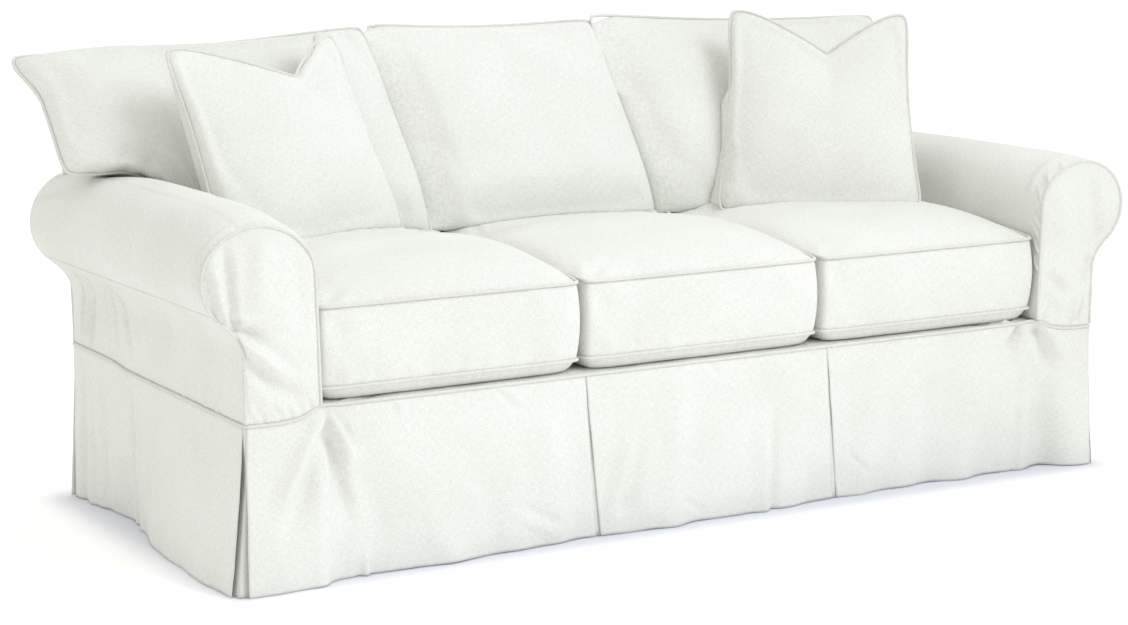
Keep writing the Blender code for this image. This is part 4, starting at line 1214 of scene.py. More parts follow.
@dataclass
class Skirt:
    """The skirt: panels that hang from one welted seam, with an underlay in each kick pleat."""

    flat_drop: float = 0.325  # of a panel or a flat underlay
    corner_drop: float = 0.311  # of an underlay that turns a corner
    flat_more: tuple[float, float] = (0.02, 0.01)  # added across and down to a panel's flat size
    underlay_half: float = 0.070
    underlay_behind: float = 0.0045
    corner_behind: float = 0.0120
    sewn_behind: float = 0.0010
    cell: float = 0.0055
    front_creases: Sequence[Crease] = FRONT_SKIRT_CREASES
    left_creases: Sequence[Crease] = LEFT_SKIRT_CREASES
    right_creases: Sequence[Crease] = RIGHT_SKIRT_CREASES
    back_creases: Sequence[Crease] = BACK_SKIRT_CREASES

    @staticmethod
    def seam_front(x: float) -> Vector:
        """Where the seam runs along the front."""
        start, width = 0.835, 0.030  # where it passes from the deck's front to an arm's
        step = smooth((abs(x) - start) / width)
        return Vector((x, mix(DECK_FRONT_Y, ARM_FRONT_Y, step), eased(FRONT_SEAM, x)))

    @staticmethod
    def seam_side(y: float, side: Side) -> Vector:
        """Where the seam runs along an end."""
        return Vector((side.value * HALF_WIDTH, y, eased(SIDE_SEAM, y)))

    @staticmethod
    def seam_back(x: float) -> Vector:
        """Where the seam runs along the back."""
        return Vector((x, HALF_DEPTH, SKIRT_BACK_Z))

    @staticmethod
    def hang(seam: Vector, out: float, way: Vector, drop: float, behind: float = 0.0) -> Vector:
        """A point of the skirt.

        Args:
            seam: the point of the seam that it hangs from.
            out: how far the hem stands out there.
            way: outwards.
            drop: 0 at the seam and 1 at the hem.
            behind: how far inside the skirt it lies.

        Returns:
            The point.
        """
        point = seam + way * (out * drop**1.25 - behind)
        uneven, ripple = 0.0011, 0.055
        hem = HEM_Z + uneven * (1 + noise.noise(seam / ripple))
        point.z = mix(seam.z - SEWN_IN, hem, drop)
        return point

    def front(self, x: float, drop: float, behind: float = 0.0) -> Vector:
        """A point of the front of the skirt."""
        return self.hang(self.seam_front(x), eased(FRONT_FOLDS, x), Vector((0, -1, 0)), drop, behind)

    def side(self, y: float, drop: float, side: Side, behind: float = 0.0) -> Vector:
        """A point of one end of the skirt."""
        way = Vector((side.value, 0, 0))
        return self.hang(self.seam_side(y, side), eased(SIDE_FOLDS[side], y), way, drop, behind)

    def back(self, x: float, drop: float, behind: float = 0.0) -> Vector:
        """A point of the back of the skirt."""
        return self.hang(self.seam_back(x), eased(BACK_FOLDS, x), Vector((0, 1, 0)), drop, behind)

    def tuck(self, full: float, drop: float) -> float:
        """How far inside the skirt an underlay hangs: sewn to it at the top and free of it lower down."""
        return mix(self.sewn_behind, full, smooth(drop * 3))

    def panels(self) -> None:
        """Three panels at the front, three at the back and one at each end."""
        ends = Pleat(-HALF_WIDTH, -HALF_WIDTH), Pleat(HALF_WIDTH, HALF_WIDTH)
        slits = CORNER_SLIT, FLAT_SLIT, FLAT_SLIT, CORNER_SLIT
        sides = (
            ("front", self.front, (0, -1, 0), FRONT_PLEATS, self.front_creases),
            ("back", self.back, (0, 1, 0), BACK_PLEATS, self.back_creases),
        )
        for where, hung, outward, pleats, creases in sides:
            edges = (ends[0], *pleats, ends[1])
            for i, name in enumerate(("left", "middle", "right")):
                first, last = edges[i], edges[i + 1]

                def place(u: float, v: float, i=i, first=first, last=last, hung=hung) -> Vector:
                    """A point of this panel."""
                    drop = 1 - v
                    low = mix(first.seam, first.hem, drop) + mix(*slits[i], drop)
                    high = mix(last.seam, last.hem, drop) - mix(*slits[i + 1], drop)
                    return hung(mix(low, high, u), drop)

                width = max(last.seam - first.seam, last.hem - first.hem)
                Cloth(
                    f"skirt_{where}_{name}",
                    round(width / self.cell),
                    58 if where == "front" else 30,
                    place,
                    outward,
                    (width + self.flat_more[0], self.flat_drop + self.flat_more[1]),
                    Held.HUNG,
                    ("cord_skirt_welt",),
                    chart=Chart.FRONT,
                    creases=creases,
                    sewn=Edges(high=0.010),
                    uneven=0.0022,
                    ripple=0.085,
                ).build()
        for side in Side:

            def hung_side(u: float, v: float, side=side) -> Vector:
                """A point of this end panel."""
                drop = 1 - v
                edge = mix(*CORNER_SLIT, drop)
                return self.side(mix(-HALF_DEPTH + edge, HALF_DEPTH - edge, u), drop, side)

            Cloth(
                f"skirt_side_{side.word}",
                150,
                52,
                hung_side,
                (side.value, 0, 0),
                (2 * HALF_DEPTH + self.flat_more[0], self.flat_drop + self.flat_more[1]),
                Held.HUNG,
                ("cord_skirt_welt",),
                chart=Chart.SIDE,
                creases=self.left_creases if side is Side.LEFT else self.right_creases,
                sewn=Edges(high=0.010),
                uneven=0.0018,
            ).build()

    def underlays(self) -> None:
        """The cloth that shows inside each kick pleat: flat behind a slit, folded round a corner."""
        rows = (("front", self.front, -1, FRONT_PLEATS), ("back", self.back, 1, BACK_PLEATS))
        for where, hung, way, pleats in rows:
            for name, pleat in zip(("left", "right"), pleats):

                def flat(u: float, v: float, pleat=pleat, hung=hung) -> Vector:
                    """A point of a flat underlay."""
                    x = mix(pleat.seam, pleat.hem, 1 - v) + mix(-self.underlay_half, self.underlay_half, u)
                    return hung(x, 1 - v, self.tuck(self.underlay_behind, 1 - v))

                Cloth(
                    f"underlay_{where}_{name}",
                    16,
                    30,
                    flat,
                    (0, way, 0),
                    (2 * self.underlay_half, self.flat_drop),
                    Held.HUNG,
                    ("cord_skirt_welt",),
                    uneven=0.0005,
                ).build()
        for side in Side:
            for where, end in (("front", -1), ("rear", 1)):

                def folded(u: float, v: float, side=side, end=end) -> Vector:
                    """A point of an underlay that turns a corner."""
                    drop = 1 - v
                    behind = self.tuck(self.corner_behind, drop)
                    reach = self.underlay_half - self.corner_behind
                    hung = self.front if end < 0 else self.back
                    inset = HALF_WIDTH - self.corner_behind
                    depth = end * (HALF_DEPTH - self.corner_behind)
                    face = hung(side.value * inset, drop, behind)
                    flank = self.side(depth, drop, side, behind)
                    corner = Vector((flank.x, face.y, face.z))
                    if u < 0.5:
                        along = (0.5 - u) * 2 * reach
                        point = hung(side.value * (inset - along), drop, behind)
                        shift = corner - face
                    else:
                        along = (u - 0.5) * 2 * reach
                        point = self.side(depth - end * along, drop, side, behind)
                        shift = corner - flank
                    point.x += shift.x * (1 - smooth(along / reach))
                    point.y += shift.y * (1 - smooth(along / reach))
                    return point

                Cloth(
                    f"underlay_{where}_corner_{side.word}",
                    20,
                    36,
                    folded,
                    (side.value, end, 0),
                    (2 * self.underlay_half, self.corner_drop),
                    Held.HUNG,
                    ("cord_skirt_welt",),
                    uneven=0.0005,
                ).build()

    def seam_cord(self) -> None:
        """One welt all the way round, in the seam that the skirt hangs from."""
        corner = 0.004
        count = 200
        fronts = [mix(-HALF_WIDTH + corner, HALF_WIDTH - corner, t / count) for t in range(count + 1)]
        depths = [mix(-HALF_DEPTH + corner, HALF_DEPTH - corner, t / 80) for t in range(81)]
        path = [self.seam_front(x) for x in fronts] + [self.seam_side(y, Side.RIGHT) for y in depths]
        path += [self.seam_back(x) for x in reversed(fronts)]
        path += [self.seam_side(y, Side.LEFT) for y in reversed(depths)]
        Welt("skirt_welt", path, UP).build()

    def build(self) -> None:
        """Makes the whole skirt."""
        self.panels()
        self.underlays()
        self.seam_cord()


def back_face_y(height: float) -> float:
    """Where the inside back stands at a height."""
    return mix(BACK_FOOT_Y, BACK_HEAD_Y, (height - DECK_Z) / (BACK_HEAD_Z - DECK_Z))


def back_rear_y(height: float) -> float:
    """Where the outside back stands at a height."""
    return mix(HALF_DEPTH, BACK_REAR_Y, smooth((height - SKIRT_BACK_Z) / (BACK_HEAD_Z - SKIRT_BACK_Z)))


def peak(points: Sequence[Vector]) -> int:
    """The place of the highest point of a line of (x, z) points."""
    return max(range(len(points)), key=lambda i: points[i].y)


def crossing(points: Sequence[Vector], height: float) -> float:
    """The x at which a line of (x, z) points first passes a height."""
    for a, b in zip(points, points[1:]):
        if min(a.y, b.y) <= height <= max(a.y, b.y) and a.y != b.y:
            return mix(a.x, b.x, (height - a.y) / (b.y - a.y))
    return points[0].x if height < points[0].y else points[-1].x


@dataclass
class Scroll:
    """The arm's section, as points (x, z) of a right arm from the inner foot over the roll to the outer foot."""

    @staticmethod
    def roll(degrees: float, rise: float = 0.0) -> Vector:
        """A point of the roll: 0 is outwards and 90 is up. Padding lifts the upper half only."""
        angle = math.radians(degrees)
        tall = ROLL_RZ + rise * (math.sin(angle) > 0)
        return Vector((ROLL_X + ROLL_RX * math.cos(angle), ROLL_Z + tall * math.sin(angle)))

    def inner(self, rise: float = 0.0) -> list[Vector]:
        """Inner wall and roll, down to the seam under the roll."""
        wall = [Vector((ARM_INNER_X, DECK_Z)).lerp(self.roll(180), t / 12) for t in range(12)]
        return wall + [self.roll(mix(180, UNDER_SEAM_DEG, t / 90), rise) for t in range(91)]

    def outer(self, foot: float) -> list[Vector]:
        """From the seam under the roll, in at the neck and down to the skirt seam."""
        start, end = self.roll(NECK_START_DEG), Vector((ARM_OUTER_X, NECK_END_Z))
        heading = (start - self.roll(NECK_START_DEG + 1)).normalized()
        reach = (start - end).length * 0.4
        one, two = start + heading * reach, end + Vector((0, reach))
        bend = []
        for i in range(25):
            t = i / 24
            bend.append(
                start * (1 - t) ** 3 + one * 3 * t * (1 - t) ** 2 + two * 3 * t * t * (1 - t) + end * t**3
            )
        first = [self.roll(mix(UNDER_SEAM_DEG, NECK_START_DEG, t / 4)) for t in range(4)]
        return first + bend + [Vector((ARM_OUTER_X, foot))]


@dataclass
class ArmCover:
    """One arm: a panel over the roll, an outside panel, a front scroll with its welt, and a rear facing."""

    side: Side
    roll_creases: Sequence[Crease] = ()
    outside_creases: Sequence[Crease] = ()
    front_creases: Sequence[Crease] = ()
    front_crown: float = 0.006
    front_ease: float = 0.0006
    front_foot: float = 0.001  # how far above the sewn edge the scroll's foot lies
    front_top: float = 0.0003  # how far below its outline's crest the scroll's top lies
    cord_foot: float = 0.0035  # how far above the sewn edge its welt's ends lie
    columns: int = 150
    rows: int = 104
    scroll: Scroll = field(default_factory=Scroll)

    def over_roll(self) -> None:
        """The panel from the deck over the roll to the seam under it."""
        front = ARM_FRONT_Y + SEWN_IN
        sections: dict[float, list[Vector]] = {}

        def place(u: float, v: float) -> Vector:
            """A point of the panel: u goes over the roll and v to the back."""
            if v not in sections:
                level = mix(front, HALF_DEPTH, v)
                inner = self.scroll.inner(eased(ARM_PADDING[self.side], level))
                inner[0] = Vector((ARM_INNER_X, DECK_Z + ENDING))
                sections[v] = resample(inner, self.columns)
            section = sections[v]
            column = round(u * self.columns)
            x, z = section[column]
            out = smooth((x - HALF_WIDTH) / 0.004) if column > peak(section) else 0.0
            rear = mix(back_face_y(z) - ENDING, back_rear_y(z) - INSIDE_BACK, out)
            return Vector((self.side.value * x, mix(front, rear, v), z))

        Cloth(
            f"arm_{self.side.word}",
            self.columns,
            self.rows,
            place,
            (0, 0, 1),
            (0.66, 0.86),
            Held.STRETCHED,
            (f"outside_arm_{self.side.word}", f"arm_front_{self.side.word}"),
            creases=self.roll_creases,
            sewn=Edges(left=0.02, right=0.008, low=0.004, high=0.02),
            uneven=0.0018,
            ripple=0.11,
            crowd=1.5,
        ).build()

    def outside(self) -> None:
        """The outside panel, from under the roll to the skirt."""
        rows = 42

        def place(u: float, v: float) -> Vector:
            """A point of the panel: u goes to the back and v up."""
            y = mix(ARM_FRONT_Y + SEWN_IN, HALF_DEPTH, u)
            line = self.scroll.outer(eased(SIDE_SEAM, y) + SEWN_IN)
            line[0] = self.scroll.roll(UNDER_SEAM_DEG - 0.5)
            x, z = resample(line, rows)[round((1 - v) * rows)]
            return Vector((self.side.value * x, mix(ARM_FRONT_Y + SEWN_IN, back_rear_y(z) - INSIDE_BACK, u), z))

        Cloth(
            f"outside_arm_{self.side.word}",
            150,
            rows,
            place,
            (self.side.value, 0, 0),
            (0.86, 0.215),
            Held.STRETCHED,
            ("cord_skirt_welt",),
            chart=Chart.SIDE,
            creases=self.outside_creases,
            sewn=Edges(left=0.010, right=0.008, low=0.004, high=0.004),
            uneven=0.0016,
        ).build()

    def front(self) -> None:
        """The scroll at the front of the arm, and the welt round it."""
        whole = self.scroll.inner() + self.scroll.outer(eased(SIDE_SEAM, ARM_FRONT_Y))[1:]
        line = []
        for i, point in enumerate(whole):
            heading = (whole[min(i + 1, len(whole) - 1)] - whole[max(i - 1, 0)]).normalized()
            line.append(point + Vector((heading.y, -heading.x)) * (SEWN_IN + self.front_ease))
        inner, outer = line[: peak(line) + 1], line[peak(line) :]
        top = line[peak(line)].y - self.front_top
        foot = FRONT_SEAM[0].size
        side = self.side.value

        def place(u: float, v: float) -> Vector:
            """A point of the scroll, drawn in to the welt all round."""
            rise = math.sin(v * math.pi / 2)
            z = mix(foot, top, rise)
            for _ in range(3):
                x = mix(crossing(inner, z), crossing(outer, z), u)
                z = mix(eased(FRONT_SEAM, side * x) + SEWN_IN + self.front_foot, top, rise)
            crown = self.front_crown * hill(u, 4) * hill(v, 6)
            return Vector((side * x, ARM_FRONT_Y - crown, z))

        Cloth(
            f"arm_front_{self.side.word}",
            60,
            84,
            place,
            (0, -1, 0),
            (0.225, 0.365),
            Held.STRETCHED,
            (f"cord_arm_welt_{self.side.word}",),
            area=0.062,
            chart=Chart.FRONT,
            creases=self.front_creases,
            sewn=Edges(left=0.005, right=0.005, low=0.005, high=0.006),
            uneven=0.0014,
        ).build()
        path = resample(whole, 140)
        path[0].y = eased(FRONT_SEAM, side * path[0].x) + SEWN_IN + self.cord_foot
        path[-1].y = eased(SIDE_SEAM, ARM_FRONT_Y) + SEWN_IN + self.cord_foot
        points = [Vector((side * p.x, ARM_FRONT_Y, p.y)) for p in path]
        Welt(f"arm_welt_{self.side.word}", points, Vector((0, 1, 0)), closed=False).build()

    def rear(self) -> None:
        """The part of the roll's rear end that stands out past the outside back."""
        inner = self.scroll.inner(ARM_PADDING[self.side][-1].size)
        line = inner[peak(inner) :] + self.scroll.outer(FRONT_SEAM[0].size)[1:]
        low, high = NECK_END_Z + 0.030, ROLL_Z + ROLL_RZ - 0.006

        def place(u: float, v: float) -> Vector:
            """A point of the facing."""
            z = mix(low, high, v)
            x = mix(HALF_WIDTH + MEETING, crossing(line, z) - MEETING, u)
            return Vector((self.side.value * x, back_rear_y(z), z))

        Cloth(
            f"arm_rear_{self.side.word}",
            10,
            24,
            place,
            (0, 1, 0),
            (0.076, 0.212),
            Held.STRETCHED,
            (f"arm_{self.side.word}",),
            area=0.0112,
            uneven=0.0004,
            sewn=Edges(0.01, 0.01, 0.01, 0.01),
        ).build()

    def build(self) -> None:
        """Makes the whole arm."""
        self.over_roll()
        self.outside()
        self.front()
        self.rear()


@dataclass
class DeckAndBack:
    """The deck under the seat cushions, the inside back, the outside back and the gussets between them."""

    deck_creases: Sequence[Crease] = DECK_CREASES
    gusset_inset: float = 0.0029
    gusset_tuck: float = 0.030  # how far a gusset runs down inside the arm's roll
    lip_drop: float = 0.0035  # of the deck, at its front edge
    lip_depth: float = 0.03  # from front to back
    shoulder: float = 0.006  # height over which the inside back widens, above the arms
    lower_end: float = 0.002  # how far below the arms' tops its lower part ends
    lower_inset: float = 0.004  # from the arms' walls in to its lower part
    hollow: float = 0.006  # of the outside back, at its middle

    def section(self) -> list[Vector]:
        """Up the inside of the back, over its top and to the seam with the outside back, as points (y, z)."""
        heights = [mix(DECK_Z + 0.0015, ARM_TOP_Z - self.lower_end, t / 24) for t in range(25)]
        heights += [mix(ARM_TOP_Z + self.shoulder, BACK_HEAD_Z, t / 12) for t in range(13)]
        line = [Vector((back_face_y(z), z)) for z in heights]
        for middle, start in ((BACK_HEAD_Y + BACK_ROUND_R, 180), (BACK_REAR_Y - BACK_ROUND_R, 90)):
            for turn in range(7):
                angle = math.radians(start - 15 * turn)
                z = BACK_HEAD_Z + BACK_HEM + BACK_ROUND_R * math.sin(angle)
                line.append(Vector((middle + BACK_ROUND_R * math.cos(angle), z)))
        return line + [Vector((BACK_REAR_Y, BACK_HEAD_Z))]

    def deck(self) -> None:
        """The cloth under the seat cushions, with a lip that rolls down to the skirt seam."""
        half = ARM_INNER_X - 0.001

        def place(u: float, v: float) -> Vector:
            """A point of the deck."""
            y = mix(DECK_FRONT_Y + SEWN_IN, BACK_FOOT_Y - MEETING, v)
            lip = self.lip_drop * (1 - smooth((y - DECK_FRONT_Y) / self.lip_depth))
            return Vector((mix(-half, half, u), y, DECK_Z + 0.0005 - lip))

        Cloth(
            "deck",
            96,
            44,
            place,
            (0, 0, 1),
            (1.70, 0.68),
            Held.STRETCHED,
            ("cord_skirt_welt",),
            creases=self.deck_creases,
            sewn=Edges(0.02, 0.02, 0.004, 0.02),
            uneven=0.0012,
            ripple=0.05,
            crowd=1.6,
        ).build()

    def inside(self) -> None:
        """T-shaped: between the arms below, as wide as the cover above them, and over the top of the back."""
        section = self.section()
        rows = len(section) - 1
        inner = Scroll().inner(ARM_TOP_Z - ROLL_Z - ROLL_RZ)
        wall = inner[: peak(inner) + 1]

        def place(u: float, v: float) -> Vector:
            """A point of the inside back."""
            y, z = section[round(v * rows)]
            above = smooth((z - ARM_TOP_Z) / self.shoulder)
            lower = crossing(wall, min(z, ARM_TOP_Z - self.lower_end)) - self.lower_inset
            half = mix(lower, HALF_WIDTH - MEETING, above)
            return Vector((mix(-half, half, u), y, z))

        Cloth(
            "inside_back",
            84,
            rows,
            place,
            (0, -1, 0.4),
            (2.0, 0.66),
            Held.STRETCHED,
            ("deck", "outside_back"),
            area=1.19,
            sewn=Edges(0.006, 0.006, 0.02, 0.006),
            uneven=0.0010,
            ripple=0.12,
        ).build()

    def outside(self) -> None:
        """The outside back, from the skirt seam to the top."""

        def place(u: float, v: float) -> Vector:
            """A point of the outside back."""
            z = mix(SKIRT_BACK_Z + SEWN_IN, BACK_HEAD_Z - ENDING, v)
            hollow = self.hollow * hill(u, 2) * hill(v, 2)
            half = HALF_WIDTH - MEETING
            return Vector((mix(-half, half, u), back_rear_y(z) - hollow, z))

        Cloth(
            "outside_back",
            72,
            28,
            place,
            (0, 1, 0),
            (2.0, 0.53),
            Held.STRETCHED,
            ("inside_back", "cord_skirt_welt"),
            sewn=Edges(0.01, 0.01, 0.006, 0.006),
            uneven=0.0014,
            ripple=0.16,
        ).build()

    def gussets(self) -> None:
        """The two ends of the back, above the arms."""
        inset = self.gusset_inset
        radius = BACK_ROUND_R - inset
        low, high = ARM_TOP_Z + self.shoulder - self.gusset_tuck, BACK_HEAD_Z + BACK_HEM + radius
        for side in Side:

            def place(u: float, v: float, side=side) -> Vector:
                """A point of a gusset."""
                z = mix(low, high, math.sin(v * math.pi / 2))
                above = min(max(z - BACK_HEAD_Z - BACK_HEM, 0.0), radius)
                turned = radius - math.sqrt(radius**2 - above**2)
                front = back_face_y(min(z, BACK_HEAD_Z)) + inset + turned
                rear = back_rear_y(min(z, BACK_HEAD_Z)) - inset - turned
                return Vector((side.value * HALF_WIDTH, mix(front, rear, u), z))

            Cloth(
                f"back_gusset_{side.word}",
                16,
                24,
                place,
                (side.value, 0, 0),
                (0.128, 0.178 + self.gusset_tuck),
                Held.STRETCHED,
                ("inside_back",),
                uneven=0.0008,
                sewn=Edges(0.01, 0.01, 0.01, 0.01),
            ).build()

    def build(self) -> None:
        """Makes the deck and the back."""
        self.deck()
        self.inside()
        self.outside()
        self.gussets()


SEAT_CELL = 2 * (ARM_INNER_X - 0.0025) / 3
SEAT_FRONT_Y, SEAT_REAR_Y = -0.419, 0.250
SEAT_LOW_Z, SEAT_HIGH_Z = 0.361, 0.509
# How far the filling lifts the upper seam down the sides of a seat cushion, by y.
SEAT_LIFT = (
    Row(-0.413, 0.000),
    Row(-0.320, 0.010),
    Row(-0.200, 0.020),
    Row(-0.080, 0.022),
    Row(0.040, 0.015),
    Row(0.140, 0.005),
    Row(0.250, 0.000),
)


@dataclass
class SeatCushion:
    """A boxed cushion: crowned top, sagging underside, and boxing that bulges between its two welts."""

    name: str
    cell: int
    crown: float = 0.048
    sag: float = 0.031
    side_inset: float = 0.0045
    side_bulge: float = 0.0030
    front_bulge: float = 0.010
    corner: float = 0.008
    slack: float = 0.012
    uneven: float = 0.0007
    ripple: float = 0.06  # size of the unevenness
    held: float = 0.012  # height beside a welt over which the creases fade
    top_creases: Sequence[Crease] = SEAT_TOP_CREASES
    boxing_creases: Sequence[Crease] = SEAT_FRONT_CREASES
    counts: tuple[int, int, int] = (50, 60, 15)  # cells across, to the back and up
    piece: bpy.types.Object | None = None

    @property
    def middle(self) -> float:
        """The x of the cushion's middle."""
        return self.cell * SEAT_CELL

    def place(self, u: float, v: float, w: float) -> Vector:
        """A point of the cushion's skin, by its shares across, to the back and up."""
        half = SEAT_CELL / 2 - (0.0 if self.cell * (u - 0.5) > 0 else self.side_inset)
        depth = SEAT_REAR_Y - SEAT_FRONT_Y
        cut = self.corner * (abs(2 * u - 1) * abs(2 * v - 1)) ** CORNER_POWER
        x = self.middle + (u - 0.5) * 2 * (half - cut)
        y = SEAT_FRONT_Y + cut + v * (depth - 2 * cut)
        z = mix(SEAT_LOW_Z, SEAT_HIGH_Z + eased(SEAT_LIFT, y), w)
        dome = (hill(u, 2.6) * hill(v, 2.6)) ** 0.45 * (1 - 0.50 * smooth((v - 0.40) / 0.45))
        if w > 1 - ON_EDGE:
            z += self.crown * dome
        elif w < ON_EDGE:
            belly = swell(u, 0.13, 0.13) * swell(v, 0.060, 0.2)
            z = max(z - self.sag * 1.2 * belly, DECK_Z + 0.0015)
        if max(abs(2 * u - 1), abs(2 * v - 1)) > 1 - ON_EDGE:
            bulge = hill(w, 2)
            x += bulge * self.side_bulge * (2 * u - 1) ** 9
            y -= bulge * self.front_bulge * max(0.0, 1 - 2 * v) ** 9
        return Vector((x, y, z))

    def build(self) -> Stuffing:
        """Makes the sewn cover, ready to be filled.

        Returns:
            The cover's filling.
        """
        shape = lattice(*self.counts)
        where = {vert.index: tuple(c + 0.5 for c in vert.co) for vert in shape.verts}
        wide, deep, tall = SEAT_CELL, SEAT_REAR_Y - SEAT_FRONT_Y, SEAT_HIGH_Z - SEAT_LOW_Z
        shape.normal_update()

        def measures(corner: bmesh.types.BMLoop) -> tuple[float, float]:
            """A corner's lengths along the panel that its face belongs to."""
            u, v, w = where[corner.vert.index]
            flat = max(range(3), key=lambda axis: abs(corner.face.normal[axis]))
            return ((v * deep, w * tall), (u * wide, w * tall), (u * wide, v * deep))[flat]

        lay_threads(shape, measures)
        cut, pinned = [], []
        for vert in shape.verts:
            u, v, w = where[vert.index]
            vert.co = self.place(u, v, w) + CENTRE
            loose = vert.co.copy()
            loose.x = mix(self.middle + CENTRE.x, loose.x, 1 + self.slack)
            loose.y = mix((SEAT_FRONT_Y + SEAT_REAR_Y) / 2, loose.y, 1 + self.slack)
            if ON_EDGE < w < 1 - ON_EDGE:
                loose.z = mix((SEAT_LOW_Z + SEAT_HIGH_Z) / 2, loose.z, 1 + self.slack)
            cut.append(loose)
            on_side = min(u, v, 1 - u, 1 - v) < ON_EDGE
            if w < ON_EDGE or (on_side and 1 - w < ON_EDGE):
                pinned.append(vert.index)
        bmesh.ops.recalc_face_normals(shape, faces=shape.faces)
        self.piece = new_object(f"cover_seat_cushion_{self.name}", shape)
        return Stuffing(self.piece, cut, pinned, pressure=3.0, most=0.006)

    def seam(self, high: bool, count: int = 70) -> list[Vector]:
        """Where a welt's centre runs round the cushion.

        Args:
            high: whether it is the upper welt.
            count: points along each side.

        Returns:
            The closed path.
        """
        points = [self.place(u, v, 1.0 if high else 0.0) for u, v in round_edge(count)]
        lift = UP if high else -UP
        out = [heading.cross(UP).normalized() for heading in headings_round(points)]
        return [point + (way + lift).normalized() * WELT_OFF for point, way in zip(points, out)]

    def finish(self, others: Sequence[bpy.types.Object]) -> None:
        """Creases the filled cover, presses it clear of its neighbours, dresses it and adds its welts.

        Args:
            others: the pieces that it lies against.
        """
        mesh = self.piece.data
        normals = [vert.normal.copy() for vert in mesh.vertices]
        left = self.middle + CENTRE.x - SEAT_CELL / 2
        for vert, normal in zip(mesh.vertices, normals):
            x, y, z = vert.co
            free = smooth(min(abs(z - SEAT_HIGH_Z - eased(SEAT_LIFT, y)), abs(z - SEAT_LOW_Z)) / self.held)
            lift = self.uneven * noise.noise(vert.co / self.ripple)
            if normal.z > 0.5:
                lift += sum(crease.lift(x - left, y - SEAT_FRONT_Y) for crease in self.top_creases)
            elif normal.y < -0.5:
                lift += sum(crease.lift(x - left, z - SEAT_LOW_Z) for crease in self.boxing_creases)
            vert.co += normal * lift * free
        keep_clear(self.piece, others, gap=0.0004, reach=0.03)
        soften(self.piece)
        CANVAS.dress(self.piece)
        finish_piece(self.piece, [f"seat_cushion_{self.name}"])
        for word, high in (("top", True), ("bottom", False)):
            Welt(f"seat_welt_{word}_{self.name}", self.seam(high), UP).build()


@dataclass
class BackCushion:
    """A loosely filled back cushion that leans on the back. An outer one steps up over its arm."""

    name: str
    low_left: Vector
    low_right: Vector
    high_left: Vector
    high_right: Vector
    ear_x: float = 0.0
    ear_side: int = 0
    front: float = 0.085
    rear: float = 0.085
    ear_lift: float = 0.161
    ear_lean: float = 0.080
    ear_step: float = 0.130
    ear_reach: float = 0.036
    waist: float = 0.008  # how far its sides are drawn in half way up
    ear_waist: float = 0.004  # the same of an outer one
    bow: float = 0.012  # how far the middle of its top sags and of its foot rises
    sink: float = 0.012  # into the seat cushion below
    droop: float = 0.012  # of the lower corners, into the gaps beside it
    cell: float = 0.0115
    settled: tuple[float, float, float] = (0.0, 0.0, 0.0)
    creases: Sequence[Crease] = ()

    def seam(self, u: float, v: float) -> Vector:
        """The surface that the seam lies in."""
        low = self.low_left.lerp(self.low_right, u)
        high = self.high_left.lerp(self.high_right, u)
        if self.ear_side:
            share = min(max((self.ear_side * low.x - self.ear_x) / self.ear_step, 0.0), 1.0)
            lift = math.sqrt(1 - (1 - share) ** 2)
            low = low + Vector((0, self.ear_lean * lift, self.ear_lift * lift))
        drawn = (self.ear_waist if self.ear_side else self.waist) * hill(v, 2) * (2 * u - 1) ** 3
        if self.ear_side < 0:
            drawn += self.ear_reach * smooth((v - 0.60) / 0.40) * (1 - u) ** 8
        sag = self.bow * hill(u, 2) * (2 * v - 1) ** 3 + self.droop * (2 * u - 1) ** 8 * (1 - v) ** 3
        if self.ear_side * (u - 0.5) > 0 and v < 0.5:
            sag = 0.0
        sag += self.sink * (1 - v)
        return low.lerp(high, v) - Vector((drawn, 0, sag))

    def cover(self) -> KnifeEdge:
        """The cushion's cover, with its sizes worked out."""
        normal = (self.low_right - self.low_left).cross(self.high_left - self.low_left).normalized()
        normal = normal if normal.y < 0 else -normal

        def dome(u: float, v: float) -> tuple[float, float]:
            """How far the front and the rear stand out."""
            plump = swell(u, 0.15, 0.15) * swell(v, 0.24, 0.36) * (0.86 + 0.14 * hill(u, 2) * hill(v, 2))
            return self.front * plump * (1 + 0.14 * math.cos(math.pi * v)), self.rear * plump

        width = (self.low_right - self.low_left).length
        height = (self.high_left - self.low_left).length
        return KnifeEdge(
            f"back_cushion_{self.name}",
            f"back_welt_{self.name}",
            round(width / self.cell),
            round(height / self.cell),
            self.seam,
            dome,
            normal,
            (width, height),
            slack=0.045,
            pressure=2.6,
            most=0.014,
            fill=0.7,
            round_share=0.028,
            belly=0.022,
            creases=self.creases,
            shift=Vector(self.settled),
        )


